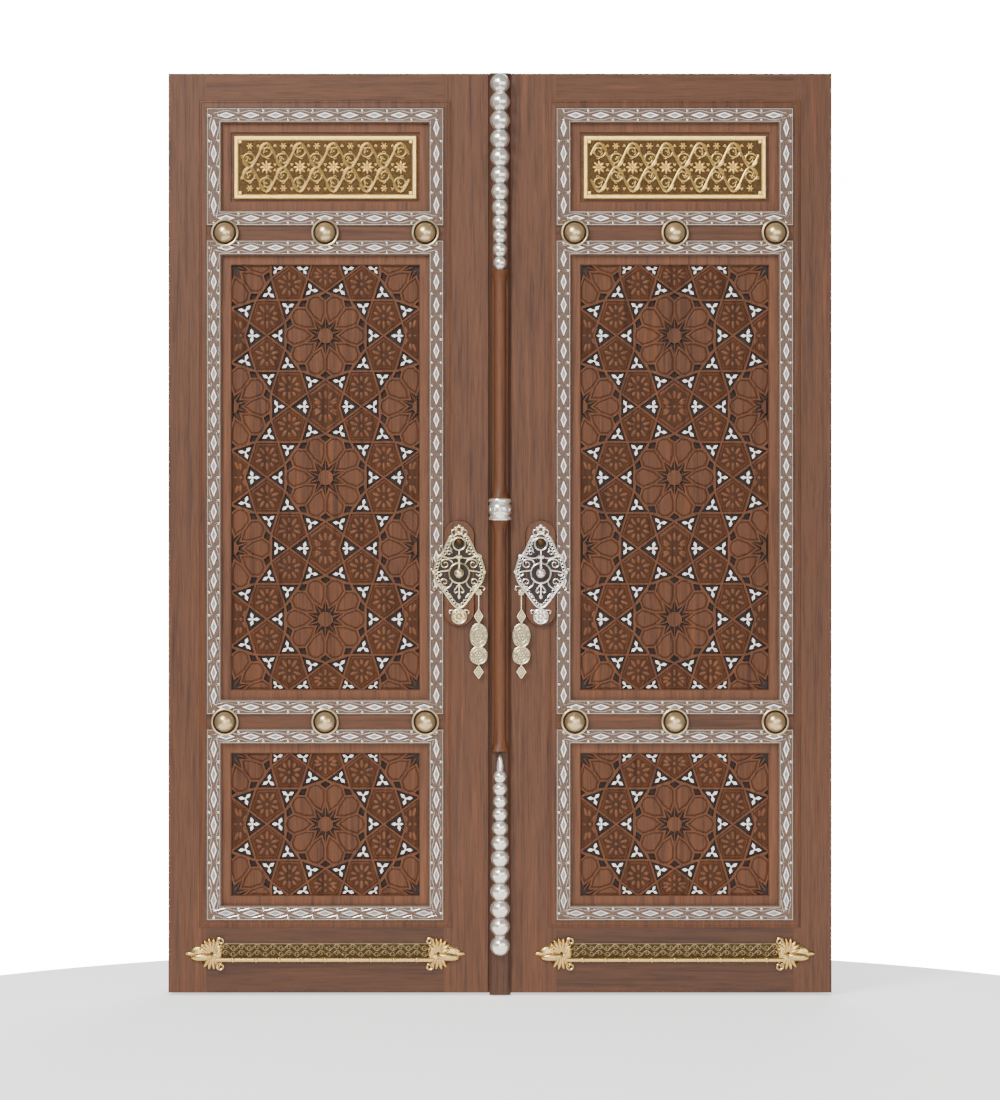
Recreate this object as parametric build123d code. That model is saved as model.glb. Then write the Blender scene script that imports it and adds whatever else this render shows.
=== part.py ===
from build123d import *
import os
from math import asin, cos, hypot, pi, sin, tan

# A carved two-leaf mosque door on its frame, closed, in millimetres.
# +X runs to the right seen from outside, -Y points outside and +Z up.
# The origin is on the floor, at the middle of the threshold.

# Leaves: widths from the middle of the door outwards, heights from the bottom up.
BATTEN_WIDTH = 58.0
MEETING_FACE = 123.0
BAY_WIDTH = 647.0
HINGE_STILE = 103.0
BOTTOM_RAIL = 196.0
LOWER_BAY = 522.0
CROSS_RAIL = 38.0
MIDDLE_BAY = 1291.0
UPPER_BAY = 322.0
TOP_RAIL = 93.0
LEAF_THICKNESS = 60.0
FLOOR_GAP = 8.0
MEETING_GAP = 3.0
SEAL_GAP = 3.0

# Frame behind the leaves.
FRAME_DEPTH = 120.0
JAMB_WIDTH = 60.0
HEAD_SET_DOWN = 12.0
THRESHOLD_HEIGHT = 20.0
ANCHOR_RADIUS = 5.5
ANCHOR_SPACING_Y = 60.0
ANCHOR_SPACING_Z = 1900.0

# Mitred mouldings and the panels inside them.
MOULDING_WIDTH = 42.0
MOULDING_PROUD = 6.0
MOULDING_CHAMFER = 4.0
MARGIN_WIDTH = 24.0
MARGIN_SET_BACK = 8.0
PANEL_SET_BACK = 5.0
BAY_BACK_RECESS = 12.0

# Star pattern of the carved panels.
MIDDLE_REPEATS = 3
LOWER_REPEATS = 1
STRAP_TOP_WIDTH = 5.0
STRAP_FOOT_WIDTH = 7.0
STRAP_HEIGHT = 9.0
FIELD_HEIGHT = 7.0
FIELD_GROOVE = 1.2
FIELD_BEVEL = 3.0
FIELD_GROOVE_DEPTH = 3.5
PEARL_HEIGHT = 6.0
PEARL_MARGIN = 1.5
PEARL_LEAF = 19.0
STAR_TIP_SHARE = 0.37
STAR_NOTCH_SHARE = 0.20
STAR_BOSS_SHARE = 0.155
PETAL_SHOULDER_SHARE = 0.57
PETAL_CROWN_SHARE = 0.672
PETAL_CROWN_TURN = 8
PEARL_REACH_SHARE = 0.86
PEARL_LEAF_SHARES = [(0.14, -0.06), (0.58, -0.25), (1.0, 0.0), (0.58, 0.25), (0.14, 0.06)]

# Silver laid on the mouldings: two lines and a chain of lozenges with spurs.
SILVER_HEIGHT = 2.0
LINE_WIDTH = 3.0
CHAIN_PITCH = 64.0
LOZENGE_HALF = 7.5
NECK_HALF = 1.6
SPUR_HALF = 12.5
CHAIN_SHARES = [(0.0, "spur"), (0.07, "neck"), (0.5, "lozenge"), (0.93, "neck")]

# Bosses on the cross rails.
BOSS_INSET = 51.0
BOSS_STEM = 15.0
BOSS_FLANGE = 38.0
BOSS_FLANGE_HEIGHT = 5.0
BOSS_RADIUS = 30.0
BOSS_HEIGHT = 23.0
BOSS_CLEARANCE = 0.3

# Brass relief plate in the upper bay.
PLATE_EDGE = 8.0
PLATE_BASE = 5.0
PLATE_RIM_WIDTH = 15.0
PLATE_RIM_HEIGHT = 5.0
VINE_HEIGHT = 4.0
VINE_WIDTH = 8.0
VINE_COUNT = 4
VINE_TURNS = 1.6
VINE_STEPS = 20
VINE_FIRST_TURN = 0.25
VINE_REACH_SHARE = 0.84
VINE_EYE_SHARE = 0.24

# Lock furniture on the meeting stiles.
LOCK_Z = 1141.0
LOCK_X = 111.0
PAD_HALF_WIDTH = 40.0
PAD_HEIGHT = 286.0
PAD_THICKNESS = 12.0
LOCK_PLATE_WIDTH = 140.0
LOCK_PLATE_HEIGHT = 262.0
LOCK_PLATE_THICKNESS = 5.0
LOCK_HOLE_RADIUS = 7.5
LOCK_OUTLINE_SHARES = [
    (0.0, 0.5), (0.09, 0.46), (0.17, 0.37), (0.21, 0.27), (0.34, 0.19), (0.42, 0.08), (0.5, 0.0),
    (0.40, -0.06), (0.36, -0.15), (0.22, -0.22), (0.12, -0.32), (0.10, -0.38), (0.14, -0.43),
    (0.0, -0.5),
]
LOCK_OPENING_SHARES = [
    [(0.08, 0.14), (0.20, 0.16), (0.17, 0.22), (0.09, 0.20)],
    [(0.22, 0.02), (0.40, 0.01), (0.31, 0.09), (0.23, 0.11)],
    [(0.22, -0.02), (0.35, -0.06), (0.30, -0.13), (0.21, -0.10)],
    [(0.05, -0.15), (0.18, -0.15), (0.09, -0.29), (0.03, -0.29)],
]
LOCK_TOP_HOLE_SHARE = 0.33

# Knockers and drop pulls, each on a cross pin between two ears.
PIN_RADIUS = 2.5
PIN_CLEARANCE = 0.05
EYE_RADIUS = 5.5
EYE_WIDTH = 8.0
EYE_GAP = 0.4
EAR_THICKNESS = 3.0
KNOCKER_DROP = 44.0
KNOCKER_BALL = 13.0
KNOCKER_STEM = 3.2
KNOCKER_STAND = 14.5
PULL_X = 58.0
PULL_PIVOT_DROP = 52.0
PULL_STAND = 12.0
PULL_THICKNESS = 6.0
PULL_BEAD = 2.5
PULL_LINK_WIDTH = 4.0
PULL_LINK_LENGTH = 44.0
PULL_TOP_DIAMOND = (25.0, 42.0)
PULL_OVAL = (49.0, 66.0)
PULL_ROUND = 49.0
PULL_END_DIAMOND = (27.0, 40.0)
PULL_OVAL_DROP = 117.0
PULL_ROUND_DROP = 171.0
PULL_END_DROP = 216.0
PULL_DIAMOND_DROP = 65.0
PULL_BEZEL_SHARE = 0.62
STAPLE_WIDTH = 18.0
STAPLE_HEIGHT = 20.0
STAPLE_THICKNESS = 3.0

# Kick bar along each bottom rail.
KICK_LENGTH = 563.0
KICK_HEIGHT = 43.0
KICK_THICKNESS = 4.0
KICK_BASE_Z = 92.0
KICK_ROD_RADIUS = 7.0
KICK_CAP_LENGTH = 103.0
KICK_CAP_HEIGHT = 96.0
KICK_CAP_THICKNESS = 9.0
KICK_OPENING_PITCH = 22.0
KICK_OPENING_SHARES = (0.36, 0.17)
KICK_ROW_SHARES = (0.29, 0.71)
KICK_CAP_LAP_SHARE = 0.04
KICK_CAP_SHARES = [
    (0.0, 0.22), (0.18, 0.30), (0.30, 0.50), (0.48, 0.40), (0.62, 0.46), (0.72, 0.28), (0.88, 0.22),
    (1.0, 0.0),
]

# Astragal down the middle of the door.
BATTEN_THICKNESS = 14.0
BATTEN_CHAMFER = 8.0
BATTEN_LOW_END = 5.0
SHAFT_RADIUS = 16.5
SHAFT_FLARE = 25.0
SHAFT_FLARE_LENGTH = 42.0
COLLAR_RADIUS = 31.0
COLLAR_HEIGHT = 58.0
COLLAR_Z = 1314.0
COLLAR_RIM_SHARE = 0.2
COLLAR_WAIST_SHARE = 0.9
SPINDLE_TOP_SET_DOWN = 3.0
SPINDLE_LENGTH = 533.0
SPINDLE_BALL = 27.0
SPINDLE_END = 19.0
SPINDLE_NECK_SHARE = 0.62
SPINDLE_BEADS = 12
LOWER_SPINDLE_Z = 103.0
LOWER_SPINDLE_LENGTH = 500.0
LOWER_SPIRE_LENGTH = 55.0

# Hinges, four to a leaf, in the gap between leaf and jamb.
HINGE_HEIGHTS = (220.0, 900.0, 1600.0, 2280.0)
HINGE_LIP = 12.0
BARREL_RADIUS = 9.0
BARREL_ROOM = 0.5
JAMB_ROOM = 2.0
HINGE_PIN_RADIUS = 5.0
KNUCKLE_LENGTH = 28.0
KNUCKLE_GAP = 0.4
KNUCKLE_COUNT = 5
HINGE_PLATE_WIDTH = 60.0
HINGE_PLATE_THICKNESS = 4.0
HINGE_PLATE_GAP = 1.0
FINIAL_RADIUS = 8.0
FINIAL_GAP = 0.2
NOTCH_DEPTH = 10.0
NOTCH_ROOM = 3.0

# Mortise lock in the right leaf and its strike in the left leaf.
CASE_DEPTH = 62.0
CASE_THICKNESS = 20.0
CASE_HEIGHT = 170.0
BOLT_LENGTH = 50.0
BOLT_THICKNESS = 12.0
BOLT_HEIGHT = 36.0
BOLT_ROOM = 0.3
BOLT_THROW = 18.0
STRIKE_ROOM = 1.0

# One overrun serves every cut. Angles are in degrees and cell areas in square millimetres.
CUT = 5.0
SAME_POINT = 0.01
SMALLEST_TURN = 0.000001
SMALLEST_CELL = 60.0
HALF_TURN = 180
FULL_TURN = 360

# Places worked out from the sizes above.
HALF_WIDTH = BATTEN_WIDTH / 2 + MEETING_FACE + BAY_WIDTH + HINGE_STILE
LEAF_HEIGHT = BOTTOM_RAIL + LOWER_BAY + CROSS_RAIL + MIDDLE_BAY + CROSS_RAIL + UPPER_BAY + TOP_RAIL
LEAF_TOP = FLOOR_GAP + LEAF_HEIGHT
FRAME_FRONT = -FRAME_DEPTH / 2
LEAF_BACK = FRAME_FRONT - SEAL_GAP
LEAF_FRONT = LEAF_BACK - LEAF_THICKNESS
MOULDING_TOP = LEAF_FRONT - MOULDING_PROUD
SILVER_TOP = MOULDING_TOP - SILVER_HEIGHT
MARGIN_FRONT = LEAF_FRONT + MARGIN_SET_BACK
PANEL_FRONT = MARGIN_FRONT + PANEL_SET_BACK
BAY_BACK = LEAF_BACK - BAY_BACK_RECESS
BATTEN_FRONT = LEAF_FRONT - BATTEN_THICKNESS
PAD_FRONT = LEAF_FRONT - PAD_THICKNESS
LOCK_PLATE_FRONT = PAD_FRONT - LOCK_PLATE_THICKNESS
BAY_INNER = BATTEN_WIDTH / 2 + MEETING_FACE
BAY_OUTER = BAY_INNER + BAY_WIDTH
BAY_X = (BAY_INNER + BAY_OUTER) / 2
WINDOW_WIDTH = BAY_WIDTH - 2 * (MOULDING_WIDTH + MARGIN_WIDTH)
LOWER_BAY_Z = FLOOR_GAP + BOTTOM_RAIL
LOWER_RAIL_Z = LOWER_BAY_Z + LOWER_BAY
MIDDLE_BAY_Z = LOWER_RAIL_Z + CROSS_RAIL
UPPER_RAIL_Z = MIDDLE_BAY_Z + MIDDLE_BAY
UPPER_BAY_Z = UPPER_RAIL_Z + CROSS_RAIL
TOP_RAIL_Z = UPPER_BAY_Z + UPPER_BAY
HINGE_X = HALF_WIDTH - HINGE_LIP
HINGE_Y = FRAME_FRONT - SEAL_GAP / 2
JAMB_OUTER = HINGE_X - BARREL_RADIUS - JAMB_ROOM
JAMB_INNER = JAMB_OUTER - JAMB_WIDTH
FRAME_TOP = LEAF_TOP - HEAD_SET_DOWN
HINGE_LENGTH = KNUCKLE_LENGTH * KNUCKLE_COUNT
BORE_RADIUS = HINGE_PIN_RADIUS + PIN_CLEARANCE
RIGHT_EDGE = -BATTEN_WIDTH / 2
LEFT_EDGE = BATTEN_WIDTH / 2 + MEETING_GAP
LOCK_CENTRE_Y = (LEAF_FRONT + LEAF_BACK) / 2
LOCK_CENTRE_Z = FLOOR_GAP + LOCK_Z


def block(x0, x1, y0, y1, z0, z1):
    """A box between two corners."""
    return Pos(x0, y0, z0) * Solid.make_box(x1 - x0, y1 - y0, z1 - z0)


def rod(radius, length, at, along):
    """A cylinder that starts at a point and runs along an axis."""
    return Solid.make_cylinder(radius, length, Plane(origin=at, z_dir=along))


def fused(shapes):
    """Shapes melted into one solid."""
    first, *rest = shapes
    return first.fuse(*rest).clean() if rest else first


def mirrored(solids):
    """The left leaf's copy of a piece of the right leaf."""
    return [solid.mirror(Plane.YZ) for solid in solids]


def on_face(points, y):
    """Outline points (across, up) lifted to a plane that faces -Y."""
    return [(u, y, v) for u, v in points]


def outline_face(outer, holes, y):
    """A flat face from an outline and its holes."""
    inner = [Wire.make_polygon(on_face(hole, y)) for hole in holes]
    return Face(Wire.make_polygon(on_face(outer, y)), inner)


def plate(outer, holes, back, front):
    """A flat plate with sharp openings, between two depths."""
    return Solid.extrude(outline_face(outer, holes, back), (0, front - back, 0))


def rectangle(width, height):
    """Corners of a centred rectangle, counter-clockwise."""
    half_w, half_h = width / 2, height / 2
    return [(-half_w, -half_h), (half_w, -half_h), (half_w, half_h), (-half_w, half_h)]


def area_of(points):
    """Signed area of an outline."""
    following = points[1:] + points[:1]
    return sum(a[0] * b[1] - b[0] * a[1] for a, b in zip(points, following)) / 2


def without_doubles(points):
    """An outline without points that fall on their neighbour."""
    kept = []
    for point in points:
        if not kept or hypot(point[0] - kept[-1][0], point[1] - kept[-1][1]) > SAME_POINT:
            kept.append(point)
    if len(kept) > 1 and hypot(kept[0][0] - kept[-1][0], kept[0][1] - kept[-1][1]) < SAME_POINT:
        kept.pop()
    return kept


def clipped(points, width, height):
    """The part of an outline inside a centred rectangle."""
    for side, limit in ((0, width / 2), (1, height / 2)):
        for sign in (1, -1):
            inside = []
            for a, b in zip(points, points[1:] + points[:1]):
                room_a, room_b = limit - sign * a[side], limit - sign * b[side]
                if room_a > -SAME_POINT:
                    inside.append(a)
                if min(room_a, room_b) < -SAME_POINT and max(room_a, room_b) > SAME_POINT:
                    t = room_a / (room_a - room_b)
                    inside.append((a[0] + t * (b[0] - a[0]), a[1] + t * (b[1] - a[1])))
            points = without_doubles(inside)
            if len(points) < 3:
                return []
    return points


def inset(points, distance):
    """An outline moved inwards, or nothing where it closes up."""
    lines = []
    for a, b in zip(points, points[1:] + points[:1]):
        length = hypot(b[0] - a[0], b[1] - a[1])
        across = (-(b[1] - a[1]) / length, (b[0] - a[0]) / length)
        lines.append((across, across[0] * a[0] + across[1] * a[1] + distance))
    moved = []
    for (n, c), (m, d) in zip(lines[-1:] + lines[:-1], lines):
        turn = n[0] * m[1] - n[1] * m[0]
        if abs(turn) < SMALLEST_TURN:
            return []
        moved.append(((c * m[1] - d * n[1]) / turn, (n[0] * d - m[0] * c) / turn))
    for i, (a, b) in enumerate(zip(points, points[1:] + points[:1])):
        c, d = moved[i], moved[(i + 1) % len(moved)]
        if (b[0] - a[0]) * (d[0] - c[0]) + (b[1] - a[1]) * (d[1] - c[1]) <= 0:
            return []
    return moved if area_of(moved) > 0 else []


def polar(radius, degrees):
    """A point given by its radius and its angle."""
    return (radius * cos(degrees * pi / HALF_TURN), radius * sin(degrees * pi / HALF_TURN))


# Ten-fold pattern on a decagon whose sides stand one unit from its middle.
PETALS = 10
STEP = FULL_TURN / PETALS
HALF_STEP = STEP / 2
STEP_ARC = 2 * pi / PETALS
RING_SHARE = tan(STEP_ARC)
ACROSS_SHARE = 2 * cos(STEP_ARC)
UP_SHARE = 2 * sin(STEP_ARC)


def rosette_cells():
    """Cells around one rosette: its star, ten petals with a pocket between each two, and ten pearls."""
    star = []
    cells = []
    for k in range(PETALS):
        angle = STEP * k
        before, after = angle - HALF_STEP, angle + HALF_STEP
        star += [polar(STAR_NOTCH_SHARE, angle), polar(STAR_TIP_SHARE, after)]
        right, left = angle - PETAL_CROWN_TURN, angle + PETAL_CROWN_TURN
        cells.append(("petal", [
            polar(STAR_NOTCH_SHARE, angle), polar(STAR_TIP_SHARE, before), polar(PETAL_SHOULDER_SHARE, before),
            polar(PETAL_CROWN_SHARE, right), polar(RING_SHARE * cos(STEP_ARC / 2), angle),
            polar(PETAL_CROWN_SHARE, left), polar(PETAL_SHOULDER_SHARE, after), polar(STAR_TIP_SHARE, after),
        ]))
        cells.append(("pocket", [
            polar(PETAL_SHOULDER_SHARE, after), polar(PETAL_CROWN_SHARE, left), polar(RING_SHARE, after),
            polar(PETAL_CROWN_SHARE, right + STEP),
        ]))
        cells.append(("pearl", [polar(RING_SHARE, before), polar(1, angle), polar(RING_SHARE, after)]))
    return [("star", star)] + cells


def knot_cells():
    """Cells between four rosettes: a spool, two pearl kites and four pentagons."""
    end = ACROSS_SHARE - 1
    mid = (cos(2 * STEP_ARC), UP_SHARE - sin(2 * STEP_ARC))
    waist = mid[0] - mid[1] / tan(2 * STEP_ARC)
    crown = UP_SHARE - RING_SHARE
    touch = (ACROSS_SHARE / 2, UP_SHARE / 2)
    shoulder = (touch[0] - end + waist, touch[1])
    side = (ACROSS_SHARE - RING_SHARE * cos(STEP_ARC / 2), RING_SHARE * sin(STEP_ARC / 2))
    cells = [("field", [
        (waist, 0), mid, (0, crown), (-mid[0], mid[1]), (-waist, 0), (-mid[0], -mid[1]), (0, -crown),
        (mid[0], -mid[1]),
    ])]
    for sx in (1, -1):
        kite = [(sx * end, 0), (sx * mid[0], mid[1]), (sx * waist, 0), (sx * mid[0], -mid[1])]
        cells.append(("pearl", kite if sx > 0 else kite[::-1]))
        for sy in (1, -1):
            pentagon = [(end, 0), side, touch, shoulder, mid]
            pentagon = [(sx * u, sy * v) for u, v in pentagon]
            cells.append(("field", pentagon if sx * sy > 0 else pentagon[::-1]))
    return cells


def panel_cells(width, height, repeats):
    """Every cell of a panel, cut to its edges, as (kind, outline, middle of its group, smaller scale)."""
    rise = height / repeats
    scale_u, scale_v = width / (2 * ACROSS_SHARE), rise / (2 * UP_SHARE)
    centred = [(0, (j + 0.5) * rise - height / 2) for j in range(repeats)]
    edges = [(s * width / 2, j * rise - height / 2) for j in range(repeats + 1) for s in (-1, 1)]
    between = [(0, j * rise - height / 2) for j in range(repeats + 1)]
    sides = [(s * width / 2, v) for _, v in centred for s in (-1, 1)]
    found = []
    for places, cells in ((centred + edges, rosette_cells()), (between + sides, knot_cells())):
        for u0, v0 in places:
            for kind, points in cells:
                placed = [(u0 + u * scale_u, v0 + v * scale_v) for u, v in points]
                cut = clipped(placed, width, height)
                if cut and area_of(cut) > SMALLEST_CELL:
                    found.append((kind, cut, (u0, v0), min(scale_u, scale_v)))
    return found


def star_boss(centre, scale, width, height):
    """The raised ten-sided middle of a star, cut where the panel ends."""
    points = [polar(STAR_BOSS_SHARE * scale, STEP * k + HALF_STEP) for k in range(PETALS)]
    room = 2 * (STRAP_FOOT_WIDTH / 2 + FIELD_GROOVE)
    return clipped([(centre[0] + u, centre[1] + v) for u, v in points], width - room, height - room)


def walls(low, high, y_low, y_high):
    """Sloping faces between two outlines with the same number of points."""
    lower, upper = on_face(low, y_low), on_face(high, y_high)
    count = len(lower)
    return [
        Face(Wire.make_polygon([lower[i], lower[(i + 1) % count], upper[(i + 1) % count], upper[i]]))
        for i in range(count)
    ]


def carved_panel(width, height, cells):
    """A board carved with straps, grooves and bevelled fields, all in flat facets."""
    top, floor = PANEL_FRONT, PANEL_FRONT + STRAP_HEIGHT
    field = floor - FIELD_HEIGHT
    edge = rectangle(width, height)
    faces = [outline_face(edge, [], BAY_BACK)] + walls(edge, edge, BAY_BACK, top)
    holes = []
    for kind, outline, centre, scale in cells:
        upper, lower = inset(outline, STRAP_TOP_WIDTH / 2), inset(outline, STRAP_FOOT_WIDTH / 2)
        if not upper or not lower:
            continue
        base, foot = floor, []
        if kind == "star":
            foot = star_boss(centre, scale, width, height)
        elif kind in ("petal", "field"):
            base = top + FIELD_GROOVE_DEPTH
            foot = inset(outline, STRAP_FOOT_WIDTH / 2 + FIELD_GROOVE)
        crest = inset(foot, FIELD_BEVEL) if foot else []
        holes.append(upper)
        faces += walls(lower, upper, base, top)
        faces.append(outline_face(lower, [foot] if crest else [], base))
        if crest:
            faces += walls(foot, crest, base, field) + [outline_face(crest, [], field)]
    faces.append(outline_face(edge, holes, top))
    return Solid(Shell(faces))


def pearl_leaf(outline):
    """A flower of pearl with one leaf to each corner of its cell."""
    pocket = inset(outline, STRAP_FOOT_WIDTH / 2 + PEARL_MARGIN)
    if not pocket or area_of(pocket) < SMALLEST_CELL:
        return None
    count = len(pocket)
    middle = (sum(u for u, _ in pocket) / count, sum(v for _, v in pocket) / count)
    flower = []
    for u, v in pocket:
        far = hypot(u - middle[0], v - middle[1])
        share = min(PEARL_REACH_SHARE, PEARL_LEAF / far)
        reach_u, reach_v = share * (u - middle[0]), share * (v - middle[1])
        for along, across in PEARL_LEAF_SHARES:
            flower.append((
                middle[0] + along * reach_u - across * reach_v,
                middle[1] + along * reach_v + across * reach_u,
            ))
    floor = PANEL_FRONT + STRAP_HEIGHT
    return plate(flower, [], floor, floor - PEARL_HEIGHT)


def mitred_ring(width, height, section):
    """A frame with mitred corners from a section of (inset, depth) points."""
    faces = []
    loops = [on_face(rectangle(width - 2 * a, height - 2 * a), y) for a, y in section]
    for low, high in zip(loops, loops[1:] + loops[:1]):
        for i in range(4):
            j = (i + 1) % 4
            faces.append(Face(Wire.make_polygon([low[i], low[j], high[j], high[i]])))
    return Solid(Shell(faces))


def moulding(height):
    """The raised moulding and flat margin around a panel."""
    inner = MOULDING_WIDTH + MARGIN_WIDTH
    return mitred_ring(BAY_WIDTH, height, [
        (0, BAY_BACK), (0, MOULDING_TOP + MOULDING_CHAMFER), (MOULDING_CHAMFER, MOULDING_TOP),
        (MOULDING_WIDTH - MOULDING_CHAMFER, MOULDING_TOP),
        (MOULDING_WIDTH, MOULDING_TOP + MOULDING_CHAMFER),
        (MOULDING_WIDTH, MARGIN_FRONT), (inner, MARGIN_FRONT), (inner, BAY_BACK),
    ])


def silver_line(height, start):
    """A thin silver line that runs round the moulding."""
    stop = start + LINE_WIDTH
    return mitred_ring(BAY_WIDTH, height, [
        (start, MOULDING_TOP), (start, SILVER_TOP), (stop, SILVER_TOP), (stop, MOULDING_TOP),
    ])


def chain_loop(width, height, sign):
    """One edge of the lozenge chain: outwards for sign 1 and inwards for sign -1."""
    reach = {"spur": SPUR_HALF, "neck": NECK_HALF, "lozenge": LOZENGE_HALF}
    corners = rectangle(width, height)
    loop = []
    for a, b in zip(corners, corners[1:] + corners[:1]):
        length = hypot(b[0] - a[0], b[1] - a[1])
        count = max(2, round(length / CHAIN_PITCH))
        along = ((b[0] - a[0]) / length, (b[1] - a[1]) / length)
        out = (along[1], -along[0])
        for k in range(count):
            for share, name in CHAIN_SHARES:
                s, w = (k + share) * length / count, sign * reach[name]
                if k == 0 and name == "spur":
                    w = sign * NECK_HALF
                    s = -w
                loop.append((a[0] + s * along[0] + w * out[0], a[1] + s * along[1] + w * out[1]))
    return loop


def silver_chain(height):
    """The chain of lozenges along the middle of a moulding."""
    width, tall = BAY_WIDTH - MOULDING_WIDTH, height - MOULDING_WIDTH
    outer, inner = chain_loop(width, tall, 1), chain_loop(width, tall, -1)
    return plate(outer, [inner], MOULDING_TOP, SILVER_TOP)


def silver_set(height):
    """All silver on one moulding."""
    inner_line = MOULDING_WIDTH - MOULDING_CHAMFER - LINE_WIDTH
    return [silver_line(height, MOULDING_CHAMFER), silver_line(height, inner_line), silver_chain(height)]


def vine_scroll(centre, reach, turn):
    """One spiral of vine as a tapering ribbon on the brass plate."""
    outer, inner = [], []
    for k in range(VINE_STEPS + 1):
        share = k / VINE_STEPS
        radius = reach * (1 - share * (1 - VINE_EYE_SHARE))
        half = VINE_WIDTH / 2 * (1 - share / 2)
        angle = turn * FULL_TURN * (VINE_FIRST_TURN + share * VINE_TURNS)
        outer.append(polar(radius, angle))
        inner.append(polar(radius - 2 * half, angle))
    ribbon = [(centre[0] + u, centre[1] + v) for u, v in outer + inner[::-1]]
    return ribbon if area_of(ribbon) > 0 else ribbon[::-1]


def brass_plate():
    """A cast brass plate with a raised rim and a row of vine scrolls."""
    height = UPPER_BAY - 2 * (MOULDING_WIDTH + MARGIN_WIDTH)
    wide, tall = WINDOW_WIDTH - 2 * PLATE_EDGE, height - 2 * PLATE_EDGE
    face = PANEL_FRONT - PLATE_BASE
    base = plate(rectangle(wide, tall), [], PANEL_FRONT, face)
    opening = rectangle(wide - 2 * PLATE_RIM_WIDTH, tall - 2 * PLATE_RIM_WIDTH)
    rim = plate(rectangle(wide, tall), [opening], face, face - PLATE_RIM_HEIGHT)
    pieces = [base, rim]
    span = (wide - 2 * PLATE_RIM_WIDTH) / VINE_COUNT
    reach = VINE_REACH_SHARE * min(span, tall - 2 * PLATE_RIM_WIDTH) / 2
    for k in range(VINE_COUNT):
        at = ((k + 0.5 - VINE_COUNT / 2) * span, 0)
        turn = 1 if k % 2 else -1
        pieces.append(plate(vine_scroll(at, reach, turn), [], face, face - VINE_HEIGHT))
    return fused(pieces)


def half_round(line_edges, at):
    """A half-round turning about a vertical axis from its profile edges."""
    start, stop = line_edges[0] @ 0, line_edges[-1] @ 1
    closing = [
        Edge.make_line(stop, (0, 0, stop.Z)), Edge.make_line((0, 0, stop.Z), (0, 0, start.Z)),
        Edge.make_line((0, 0, start.Z), start),
    ]
    face = Face(Wire(line_edges + [edge for edge in closing if edge.length > SAME_POINT]))
    return Pos(*at) * Solid.revolve(face, -HALF_TURN, Axis.Z)


def bead(radius, neck_low, neck_high, low, high):
    """The profile of one turned bead between two necks."""
    middle = (radius, 0, (low + high) / 2)
    return Edge.make_three_point_arc((neck_low, 0, low), middle, (neck_high, 0, high))


def bead_stack(radii, low, length):
    """Profile edges of a stack of beads, from the lowest up."""
    total = sum(radii)
    edges = []
    z = low
    for k, radius in enumerate(radii):
        height = length * radius / total
        before = min(radius, radii[k - 1] if k else radius) * SPINDLE_NECK_SHARE
        after = min(radius, radii[k + 1] if k + 1 < len(radii) else radius) * SPINDLE_NECK_SHARE
        edges.append(bead(radius, before, after, z, z + height))
        z += height
    return edges


def bead_radii(first, last):
    """Bead radii that change evenly along a spindle."""
    return [first + (last - first) * k / (SPINDLE_BEADS - 1) for k in range(SPINDLE_BEADS)]


def upper_spindle():
    """Beads that grow towards the ball at the top of the door."""
    top = LEAF_TOP - SPINDLE_TOP_SET_DOWN
    edges = bead_stack(bead_radii(SPINDLE_END, SPINDLE_BALL), top - SPINDLE_LENGTH, SPINDLE_LENGTH)
    return half_round(edges, (0, BATTEN_FRONT, 0))


def lower_spindle():
    """Beads that taper upwards to a spire."""
    low = FLOOR_GAP + LOWER_SPINDLE_Z
    edges = bead_stack(bead_radii(SPINDLE_BALL, SPINDLE_END), low, LOWER_SPINDLE_LENGTH)
    neck = SPINDLE_END * SPINDLE_NECK_SHARE
    high = low + LOWER_SPINDLE_LENGTH
    edges.append(Edge.make_line((neck, 0, high), (NECK_HALF, 0, high + LOWER_SPIRE_LENGTH)))
    return half_round(edges, (0, BATTEN_FRONT, 0))


def shaft_length(low, high):
    """A half-round shaft that flares at both ends."""
    bottom, top = low + SHAFT_FLARE_LENGTH, high - SHAFT_FLARE_LENGTH
    waist = (SHAFT_RADIUS + SHAFT_FLARE) / 2 - (SHAFT_FLARE - SHAFT_RADIUS) / 4
    points = [(SHAFT_FLARE, low), (waist, (low + bottom) / 2), (SHAFT_RADIUS, bottom)]
    points += [(SHAFT_RADIUS, top), (waist, (high + top) / 2), (SHAFT_FLARE, high)]
    spots = [(u, 0, v) for u, v in points]
    edges = [
        Edge.make_three_point_arc(*spots[:3]), Edge.make_line(spots[2], spots[3]),
        Edge.make_three_point_arc(*spots[3:]),
    ]
    return half_round(edges, (0, BATTEN_FRONT, 0))


def shaft():
    """The shaft's two lengths, below and above the collar."""
    foot = FLOOR_GAP + LOWER_SPINDLE_Z + LOWER_SPINDLE_LENGTH + LOWER_SPIRE_LENGTH
    collar_low = FLOOR_GAP + COLLAR_Z - COLLAR_HEIGHT / 2
    head = LEAF_TOP - SPINDLE_TOP_SET_DOWN - SPINDLE_LENGTH
    return [shaft_length(foot, collar_low), shaft_length(collar_low + COLLAR_HEIGHT, head)]


def collar():
    """The silver collar half way up the shaft."""
    low = FLOOR_GAP + COLLAR_Z - COLLAR_HEIGHT / 2
    rim = COLLAR_RIM_SHARE * COLLAR_HEIGHT
    waist = COLLAR_WAIST_SHARE * COLLAR_RADIUS
    edges = [
        bead(COLLAR_RADIUS, waist, waist, low, low + rim),
        bead(COLLAR_RADIUS, waist, waist, low + rim, low + COLLAR_HEIGHT - rim),
        bead(COLLAR_RADIUS, waist, waist, low + COLLAR_HEIGHT - rim, low + COLLAR_HEIGHT),
    ]
    return half_round(edges, (0, BATTEN_FRONT, 0))


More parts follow.
